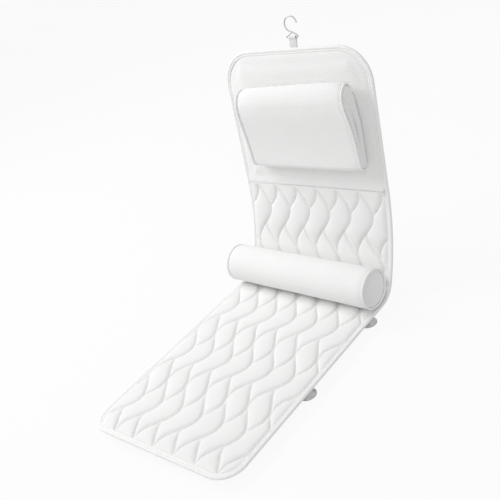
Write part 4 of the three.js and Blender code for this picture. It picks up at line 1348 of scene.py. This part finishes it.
@dataclass(frozen=True)
class HeadPillow:
    """Head pillow: thick rounded top, hollowed front, slim lower edge, side gussets and piping.

    Outlines are given as shares of the height and of the depth. Stations of a gusset are its distance
    outward, the depth of its groove and the share of the way to the pillow's middle.
    """

    half: float = 136.0
    height: float = 186.0
    depth: float = 47.0
    shift: float = 10.0
    rise: float = 49.0
    tape: float = 0.8
    gap: float = 0.3
    piping: float = 2.1
    piping_out: float = 0.7
    piping_from: float = 5.0
    crown_drop: float = 0.05
    puff: float = 1.6
    easing: int = 12
    seam_draw: float = 2.4
    seam_reach: float = 5.0
    end_draw: float = 2.2
    rear_ease: float = 0.7
    tuck: float = 11.0
    taper: float = 8.5
    corner: float = 5.0
    corner_reach: float = 16.0
    low_corner: float = 0.8
    flare: float = 9.0
    flare_top: float = 0.9
    flare_run: float = 0.45
    gusset_inset: float = 3.0
    held_below: float = 8.0
    pressure: float = 2.0
    frames: int = 14
    pin_reach: float = 2.0
    still_reach: float = 4.0
    strip_width: float = 25.0
    strip_step: float = 1.6
    loop_share: float = 0.84
    hook_share: float = 0.46
    nap: float = 0.12
    cut_share: float = 0.35
    cut_reach: float = 1.2
    spine_span: tuple[float, float] = (0.09, 0.84)
    end_rows: tuple[float, ...] = (0.982, 0.992, 1.0)
    inner_span: float = 0.972
    low_edge: Pairs = ((0.0, 0.27), (0.012, 0.44))
    front: Pairs = (
        (0.045, 0.56), (0.1, 0.61), (0.19, 0.65), (0.33, 0.72), (0.47, 0.82), (0.6, 0.92), (0.7, 0.98),
        (0.79, 1.0),
    )
    rear: Pairs = ((0.6, 0.0), (0.35, 0.0), (0.1, 0.0), (0.03, 0.015), (0.006, 0.11))
    stations: tuple[tuple[float, float, float], ...] = (
        (-7.5, 3.0, 0.0), (0.0, 9.0, 0.02), (0.0, 9.0, 0.22), (0.0, 5.0, 0.27), (0.0, 1.4, 0.31),
        (0.2, 0.2, 0.37), (0.2, 0.0, 0.55), (0.0, 0.0, 0.85),
    )

    @property
    def foot(self) -> float:
        """Height of the pillow's rear off the panel, on its strips."""
        return 3 * self.gap + 2 * self.tape

    def extent(self, u: float) -> tuple[float, float, float]:
        """Lower edge, height and depth at a place from -1 at the left end to 1."""
        corner = self.corner * float(bell((1 - abs(u)) * self.half, self.corner_reach))
        low, high = self.low_corner * corner, corner + self.taper * (1 - u) / 2
        return low, self.height - low - high, self.depth * (1 - self.crown_drop * abs(u) ** 4)

    def spine(self, ring: Array, u: float) -> Array:
        """Middle of the pillow's depth beside each point of an outline."""
        low, tall, thick = self.extent(u)
        share = np.clip((ring[:, 0] - self.rise - low) / tall, *self.spine_span)
        middle = 0.5 * thick * np.interp(share, *zip(*self.front)) + self.foot
        return np.stack([self.rise + low + share * tall, middle], 1)

    def ring(self, inset: float, u: float, count: int) -> Array:
        """Outline of the pillow as distance up the panel and height off it.

        Args:
            inset: How far the outline is drawn in.
            u: Place across the pillow, from -1 at the left end to 1.
            count: Points round the outline.

        Returns:
            Points round the closed outline.
        """
        # The rounded top, from its front to its rear
        turns = np.radians(np.arange(75, -91, -15))
        crown = self.front[-1][0]
        lobe = [(crown + (1 - crown) * math.cos(a), 0.5 + 0.5 * math.sin(a)) for a in turns]
        low, tall, thick = self.extent(u)
        shares = np.array([*self.low_edge, *self.front, *lobe, *self.rear])
        line = spline(shares * (tall, thick) + (low, 0.0), 8 * count, closed=True)
        where = travel(line, closed=True)
        looped = np.vstack([line, line[:1]])
        spots = np.linspace(0, where[-1], count, endpoint=False)
        ring = np.stack([np.interp(spots, where, looped[:, k]) for k in (0, 1)], 1)
        ahead = unit(np.roll(ring, -1, 0) - np.roll(ring, 1, 0))
        ring[:, 1] = np.maximum(ring[:, 1], 0)
        inward = np.stack([ahead[:, 1], -ahead[:, 0]], 1)
        ring = ring + inset * inward * (1 - self.rear_ease * np.clip(inward[:, 1:], 0, 1) ** 2)
        return ring + np.array([self.rise, self.foot])

    def place(self, x: Any, ring: Array) -> Array:
        """Points of the pillow in the frame, its right end slanted outward toward the lower edge."""
        low = np.clip((self.flare_top - (ring[..., 0] - self.rise) / self.height) / self.flare_run, 0, 1)
        slant = self.flare * low**2 * (3 - 2 * low) * np.clip(x / self.half, 0, 1) ** 3
        return MAT.place(x + self.shift + slant, MAT.lumbar + ring[..., 0], -ring[..., 1])

    def build(self) -> None:
        """Make the cover, the gussets, the piping and the strips."""
        self.cover()
        for side in Side:
            self.gusset(side)
            self.cord(side)
            self.strips(side)

    def cover(self) -> None:
        """Make the cover that wraps round from gusset to gusset."""
        count, inner = 160, np.linspace(-1, 1, 75)
        # Stations lie closer together towards the seams
        inner = np.sin(inner * math.pi / 2) * 0.35 + inner * 0.65
        rows = np.array(self.end_rows)
        shares = np.concatenate([-rows[::-1], inner * self.inner_span, rows])
        x = shares * self.half
        draw = self.seam_draw * bell((1 - np.abs(shares)) * self.half, self.seam_reach)
        rings = np.stack([self.ring(d, u, count) for u, d in zip(shares, draw)])
        points = self.place(x[:, None], rings)
        points = points + self.settle(points, shares)
        left, right = (
            self.place(u * (self.half - self.tuck), self.ring(self.seam_draw + self.end_draw, u, count))
            for u in (-1, 1)
        )
        u = np.concatenate([[x[0] - self.tuck], x, [x[-1] + self.tuck]])
        points = np.concatenate([left[None], points, right[None]])
        cover = sleeve("pillow_cover_cloth", points, u[:, None], travel(rings[0], closed=True))
        dress(cover, COVER_MESH, ("pillow_cover", "pillow_core"), Body.PILLOW)

    def settle(self, points: Array, shares: Array) -> Array:
        """Let the cover's cloth swell between its seams.

        Args:
            points: Grid of the cover, stations by outline.
            shares: Place of each station from -1 to 1.

        Returns:
            Moves of the points, eased and held under the puff.
        """
        closed = np.concatenate([points, points[:, :1]], 1)
        seam = (1 - np.abs(shares)) * self.half
        pins = np.broadcast_to(bell(seam, self.pin_reach)[:, None], closed.shape[:2]).copy()
        rear = MAT.place(0, MAT.lumbar + self.rise, -self.held_below)
        pins[(closed - rear) @ MAT.head_normal < 0] = 1.0
        moves = swell(closed, pins, self.pressure, self.frames)[:, :-1]
        for _ in range(self.easing):
            moves = (np.roll(moves, 1, 1) + 2 * moves + np.roll(moves, -1, 1)) / 4
        moves = moves * (1 - bell(seam, self.still_reach))[:, None, None]
        return moves * min(1.0, self.puff / np.linalg.norm(moves, axis=2).max())

    def gusset(self, side: Side) -> None:
        """Make one end piece, with a groove inside its front edge."""
        sign, label = side.value, side.name.lower()
        rim = self.ring(self.gusset_inset, sign, 96)
        toward = self.spine(rim, sign) - rim
        # The groove lies behind the front edge only, and runs out towards the lower edge
        ahead = np.clip(-1.6 * unit(toward)[:, 1], 0, 1)
        groove = ahead * np.clip((rim[:, 0] - self.rise) / self.height / 0.35 - 0.45, 0, 1)
        out, sunk, share = np.array(self.stations).T[..., None]
        rings = rim + share[..., None] * toward
        points = self.place(sign * (self.half + out - sunk * groove), rings)
        looped = np.concatenate([rings, rings[:, :1]], 1)
        piece = sleeve(f"pillow_gusset_cloth_{label}", points, looped[..., 1], looped[..., 0])
        dress(piece, COVER_MESH, (f"pillow_gusset_{label}",), Body.PILLOW)

    def cord(self, side: Side) -> None:
        """Make the piping round the front of one end."""
        sign, label = side.value, side.name.lower()
        ring = self.ring(0.0, sign, 220)
        ring = ring[ring[:, 1] > self.piping_from]
        start = int(np.argmax(np.linalg.norm(np.diff(ring, axis=0), axis=1))) + 1
        path = self.place(sign * (self.half + self.piping_out), np.roll(ring, -start, 0))
        cord = planar_tube(f"pillow_piping_cord_{label}", path, np.array([1.0, 0, 0]), self.piping, 10)
        dress(cord, EDGE_TAPE, (f"pillow_piping_{label}",), Body.PILLOW)

    def strips(self, side: Side) -> None:
        """Make the two strips behind one end: loops on the panel and hooks on the pillow."""
        label = side.name.lower()
        centre = self.shift + side.value * 0.5 * self.half
        width, middle = self.strip_width, self.rise + 0.5 * self.height
        for kind, share, lift, body in (
            ("panel_loop", self.loop_share, self.gap, Body.HEAD),
            ("pillow_hook", self.hook_share, 2 * self.gap + self.tape, Body.PILLOW),
        ):
            length = share * self.height
            across, up = (even(-a / 2, a / 2, self.strip_step) for a in (width, length))
            x, s = np.meshgrid(centre + across, middle + up)
            nap = self.nap * (np.sin(x * 2.1) * np.sin(s * 1.9) - 1)
            edge = np.minimum(width / 2 - np.abs(x - centre), length / 2 - np.abs(s - middle))
            # The pile is thinner at the cut edges
            pile = self.tape * (1 - self.cut_share * bell(edge, self.cut_reach))
            pile = pile + np.where(edge > 0.1, nap, 0)
            faces = (MAT.place(x, MAT.lumbar + s, -height) for height in (lift + pile, lift))
            strip = slab(f"{kind}_strip_{label}", *faces, x, s)
            dress(strip, LOOP_PILE, (f"{kind}_tape_{label}",), body)


@dataclass(frozen=True)
class Bolster:
    """Loose round bolster that lies in the bend, a little askew."""

    radius: float = 42.0
    half: float = 187.3
    skew: float = math.radians(-2.0)
    step: float = 4.0
    draw: float = 3.0
    draw_reach: float = 5.5
    dent: float = 0.35
    dent_clear: float = 30.0
    dent_runs: tuple[float, float] = (31.0, 57.0)
    slump: float = 0.5
    dish: float = 10.0
    disc: float = 1.5
    wrinkle: float = 0.25
    wrinkles: int = 9
    sunk: float = 0.2
    recess: float = 3.0
    recess_draw: float = 1.2
    piping: float = 2.3
    piping_out: float = 1.0
    piping_in: float = 1.8
    grip_share: float = 0.31
    grip_lift: float = 0.1
    grip_thickness: float = 0.8
    nap: float = 0.1
    radii: tuple[float, ...] = (37.7, 37.0, 35.8, 34.0, 31.0, 26.0, 20.0, 12.0, 6.0, 1.5)

    @property
    def centre(self) -> Array:
        """Middle of the bolster in the frame."""
        low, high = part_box("bolster_cover")
        return np.array((low + high) / 2) / MM

    def place(self, along: Any, radius: Any, turn: Any) -> Array:
        """Points of the bolster in the frame.

        Args:
            along: Distance from its middle, towards +X.
            radius: Distance from its axis.
            turn: Angle round the axis, 0 at the rear and rising upward.

        Returns:
            Points, with the three coordinates last.
        """
        along, radius, turn = np.broadcast_arrays(along, radius, turn)
        y, z = radius * np.cos(turn), radius * np.sin(turn)
        c, s = math.cos(self.skew), math.sin(self.skew)
        return np.stack([along * c - y * s, along * s + y * c, z], -1) + self.centre

    def build(self) -> None:
        """Make the cover, the ends, the piping and the grip strip."""
        self.cover()
        for side in Side:
            self.end(side)
        self.grip()

    def cover(self) -> None:
        """Make the round cover, tucked in at its ends."""
        turn = circle(120, -math.pi / 2)
        inner = self.half - 1
        x = np.concatenate([[-self.half], even(-inner, inner, self.step), [self.half]])[:, None]
        rim = self.half - np.abs(x)
        short, long = self.dent_runs
        soft = self.dent * np.sin(x / short + 1.3 * np.cos(turn)) * np.sin(2 * turn + x / long)
        r = self.radius - self.draw * bell(rim, self.draw_reach) + soft * (1 - bell(rim, self.dent_clear))
        r = r - self.slump * np.maximum(0, -np.sin(turn)) ** 6
        tucked = self.half - self.dish - self.sunk - self.recess
        x = np.vstack([[[-tucked]], x, [[tucked]]])
        r = np.vstack([r[0] - self.recess_draw, r, r[-1] - self.recess_draw])
        around = np.append(turn, turn[0] + ROUND) * self.radius
        cover = sleeve("bolster_cover_cloth", self.place(x, r, turn), x, around)
        dress(cover, COVER_MESH, ("bolster_cover", "bolster_core"), Body.BOLSTER)

    def end(self, side: Side) -> None:
        """Make one dished end disc and its piping."""
        sign, label = side.value, side.name.lower()
        turn = circle(72)
        share = np.array(self.radii)[:, None] / self.radii[0]
        wrinkle = self.wrinkle * np.sin(self.wrinkles * turn) * share**4
        face = self.half - self.sunk - self.dish * (1 - share**2) + wrinkle
        # A ring behind the face closes the disc
        back = np.full_like(turn, self.half - self.sunk - self.dish - self.disc)
        grown = np.array([self.radii[0], *self.radii])[:, None]
        points = self.place(sign * np.vstack([back, face]), grown, turn)
        angle = np.append(turn, ROUND)
        u, v = grown * np.cos(angle), grown * np.sin(angle)
        disc = sleeve(f"bolster_end_cloth_{label}", points, u, v)
        dress(disc, COVER_MESH, (f"bolster_end_{label}",), Body.BOLSTER)
        path = self.place(sign * (self.half + self.piping_out), self.radius - self.piping_in, circle(144))
        across = self.place(1.0, 0.0, 0.0) - self.centre
        cord = planar_tube(f"bolster_piping_cord_{label}", path, across, self.piping, 10, closed=True)
        dress(cord, EDGE_TAPE, (f"bolster_piping_{label}",), Body.BOLSTER)

    def grip(self) -> None:
        """Make the grip strip under the bolster."""
        x = even(-self.grip_share * MAT.width, self.grip_share * MAT.width, 2.0)[:, None]
        turn = np.radians(even(-107, -73, 2.0))
        inner = self.radius + self.grip_lift
        outer = inner + self.grip_thickness
        napped = outer + self.nap * (np.sin(x * 2.1) * np.sin(turn * 90) - 1)
        faces = (self.place(x, radius, turn) for radius in (napped, inner))
        strip = slab("bolster_grip_strip", *faces, x, turn * outer)
        dress(strip, LOOP_PILE, ("bolster_hook_tape",), Body.BOLSTER)


@dataclass(frozen=True)
class Hanger:
    """Wire hook in its webbing loop behind the top edge."""

    shift: float = 4.0
    wire: float = 1.5
    hook_radius: float = 15.5
    neck: float = 11.5
    bar: float = 29.0
    bar_play: float = 0.4
    bar_stand: float = 1.4
    loop_rise: float = 18.0
    strap: float = 1.3
    strap_width: float = 18.0
    strap_stand: float = 0.9
    ply_gap: float = 0.15
    selvedge: float = 0.4
    selvedge_share: float = 0.55
    sewn: float = 34.0
    box_inset: float = 2.5
    box_low: float = 3.0
    box_top: float = 10.0
    stitch_pitch: float = 2.6
    stitch_stand: float = 0.1
    thread: float = 0.35

    @property
    def bar_depth(self) -> float:
        """Depth of the hook's bar behind the head panel."""
        return MAT.backing_base + MAT.gap + self.wire + self.bar_play + self.bar_stand

    @property
    def bar_t(self) -> float:
        """Height of the hook's bar up the mat."""
        return MAT.top + self.loop_rise

    def build(self) -> None:
        """Make the hook, the loop and its box stitch."""
        self.hook()
        self.loop()

    def hook(self) -> None:
        """Bend the wire: leg, bar in the loop, shank and open hook."""
        half = self.bar / 2
        middle = self.hook_radius + self.neck
        leg = [(-1.4, 9.7), (-half / 2 + 0.6, 6.7), (-half + 2.6, 4.0), (-half + 0.2, 1.9)]
        bar = [(share * half, 0.0) for share in (-0.84, -0.5, 0.0, 0.5, 0.84)]
        shank = [(half - 0.2, 2.2), (half - 2.6, 4.6), (half / 2 - 0.4, 7.6), (0.0, 11.2)]
        turns = np.radians([235, 205, 175, 145, 115, 85, 55, 30, 8])
        arc = [(0.6 + self.hook_radius * math.cos(a), middle + self.hook_radius * math.sin(a)) for a in turns]
        run = spline([*leg, *bar, *shank, *arc], 260)
        path = MAT.place(self.shift + run[:, 0], self.bar_t + run[:, 1], self.bar_depth)
        wire = planar_tube("hanging_hook_wire", path, MAT.head_normal, self.wire, 16)
        dress(wire, NICKEL_WIRE, ("hanging_hook",), Body.HOOK)

    def loop(self) -> None:
        """Fold the webbing round the bar and sew it behind the panel."""
        top, low = MAT.top, MAT.top - self.sewn
        near = MAT.backing_base + self.strap_stand + self.strap / 2
        far = near + self.strap + self.ply_gap
        ring = self.wire + self.bar_play + self.strap / 2
        turns = np.radians([-60, -20, 20, 60, 100, 140, 180, 220])
        eye = [(self.bar_t + ring * math.sin(a), self.bar_depth - ring * math.cos(a)) for a in turns]
        run = [(low, near), (low + 12, near), (top - 6, near), (top + 6, near + 0.5), *eye]
        run += [(top + 6, far + 0.9), (top - 6, far), (low + 12, far), (low, far)]
        line = spline(run, 150)
        ahead = unit(np.gradient(line, axis=0))
        side = np.stack([-ahead[:, 1], ahead[:, 0]], 1)
        width = self.strap_width / 2
        inner = width - self.selvedge
        u = np.concatenate([[-width], even(-inner, inner, 1.2), [width]])
        thin = np.where(np.abs(u) >= width, self.selvedge_share, 1.0) * self.strap / 2
        faces = []
        for sign in (1, -1):
            t, depth = np.moveaxis(line[:, None] + sign * side[:, None] * thin[:, None], -1, 0)
            faces.append(MAT.place(self.shift + u, t, depth))
        along = travel(line)
        strap = slab("hanging_loop_webbing", *faces, u, along[:, None])
        dress(strap, WEBBING, ("hanging_loop",), Body.HEAD)
        self.box_stitch(low + self.box_low, top - self.box_top, far + self.strap / 2 + self.stitch_stand)

    def box_stitch(self, low: float, high: float, depth: float) -> None:
        """Sew a box with a cross between two heights up the mat, at a depth."""
        edge = self.strap_width / 2 - self.box_inset
        box = [(-edge, low), (edge, low), (edge, high), (-edge, high), (-edge, low)]
        share = np.linspace(0, 1, 12)
        rows = []
        for corners in (box, [(-edge, low), (edge, high)], [(edge, low), (-edge, high)]):
            for (x0, t0), (x1, t1) in zip(corners, corners[1:]):
                rows.append(MAT.place(self.shift + x0 + (x1 - x0) * share, t0 + (t1 - t0) * share, depth))
        STITCHING.sew("hanging_loop_stitches", rows, Body.HEAD, self.stitch_pitch, self.thread)


# The studio


@dataclass(frozen=True)
class Studio:
    """Pale floor, soft light and the photograph's camera."""

    camera_at: tuple[float, float, float] = (999.7, -850.8, 940.6)
    azimuth: float = 48.19
    elevation: float = 28.44
    roll: float = 19.06
    lens: float = 55.0
    key_watts: float = 35.0
    fill_watts: float = 13.0
    sky: float = 0.5
    floor_reach: float = 20.0
    floor_colour: str = "#DCDCDC"
    floor_glow: float = 0.92

    def build(self) -> None:
        """Make the camera, the floor, the lamps and the sky."""
        self.camera()
        self.floor()
        self.lamps()
        self.heaven()
        bpy.context.scene.view_settings.view_transform = "Standard"

    def camera(self) -> None:
        """Set the camera where the photograph was taken from."""
        data = bpy.data.cameras.new("photo_camera")
        data.lens = self.lens
        data.sensor_width = 36.0
        data.clip_end = 50.0
        made = link("photo_camera", data)
        az, el, roll = (math.radians(a) for a in (self.azimuth, self.elevation, self.roll))
        ahead = Vector((-math.sin(az) * math.cos(el), math.cos(az) * math.cos(el), -math.sin(el)))
        level = ahead.cross(Vector((0, 0, 1))).normalized()
        plumb = level.cross(ahead)
        right = level * math.cos(roll) - plumb * math.sin(roll)
        up = plumb * math.cos(roll) + level * math.sin(roll)
        turn = Matrix((right, up, -ahead)).transposed().to_4x4()
        made.matrix_world = Matrix.Translation(Vector(self.camera_at) * MM) @ turn
        bpy.context.scene.camera = made

    def floor(self) -> None:
        """Lay a pale floor that shows white to the camera and keeps the shadow."""
        mesh = bpy.data.meshes.new("floor")
        signs = ((-1, -1), (1, -1), (1, 1), (-1, 1))
        corners = [(x * self.floor_reach, y * self.floor_reach, 0) for x, y in signs]
        mesh.from_pydata(corners, [], [(0, 1, 2, 3)])
        made = link("floor", mesh)
        material = bpy.data.materials.new("studio_floor")
        material.use_nodes = True
        tree = material.node_tree
        shader = tree.nodes["Principled BSDF"]
        feed(tree, shader, {"Base Color": linear(self.floor_colour), "Roughness": 0.9})
        glow = node(tree, "ShaderNodeEmission", {"Color": (1, 1, 1, 1), "Strength": 1.0}).outputs[0]
        share = sums(tree, "MULTIPLY", self.seen(tree), self.floor_glow)
        mix = node(tree, "ShaderNodeMixShader", {0: share, 1: shader.outputs[0], 2: glow}).outputs[0]
        feed(tree, tree.nodes["Material Output"], {"Surface": mix})
        mesh.materials.append(material)

    @staticmethod
    def seen(tree: Tree) -> Socket:
        """An output that is 1 for rays from the camera, a reflection or a see-through piece."""
        path = node(tree, "ShaderNodeLightPath").outputs
        first = sums(tree, "MAXIMUM", path["Is Camera Ray"], path["Is Glossy Ray"])
        return sums(tree, "MAXIMUM", first, path["Is Transmission Ray"])

    def lamps(self) -> None:
        """Hang a soft lamp above to the left, and a wide weak one on the camera's side."""
        aim = Vector((0, 0.05, 0.2))
        for name, watts, size, spot in (
            ("key_lamp", self.key_watts, 1.6, Vector((-1.55, -0.35, 1.8))),
            ("fill_lamp", self.fill_watts, 2.0, Vector((1.7, -1.45, 1.45))),
        ):
            data = bpy.data.lights.new(name, "AREA")
            data.energy = watts
            data.shape = "DISK"
            data.size = size
            made = link(name, data)
            made.location = spot
            made.rotation_mode = "QUATERNION"
            made.rotation_quaternion = (aim - spot).to_track_quat("-Z", "Y")

    def heaven(self) -> None:
        """Light from all round, shown white behind the object."""
        world = bpy.data.worlds.new("studio_sky")
        bpy.context.scene.world = world
        world.use_nodes = True
        tree = world.node_tree
        feeds = {"Value": self.seen(tree), "To Min": self.sky, "To Max": 1.0}
        level = node(tree, "ShaderNodeMapRange", feeds).outputs["Result"]
        feed(tree, tree.nodes["Background"], {"Color": (1, 1, 1, 1), "Strength": level})


def write_sizes() -> None:
    """Bring the scene's placements up to date."""
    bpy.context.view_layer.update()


def main() -> None:
    """Build the studio and every sub-assembly, in order."""
    logging.basicConfig(level=logging.INFO, format="%(name)s %(message)s")
    mat = (*PANELS, EdgeTape(), Lining(), FoldSeams(), SuctionCups())
    for part in (Studio(), *mat, HeadPillow(), Bolster(), Hanger()):
        part.build()
    write_sizes()


if __name__ == "__main__":
    main()
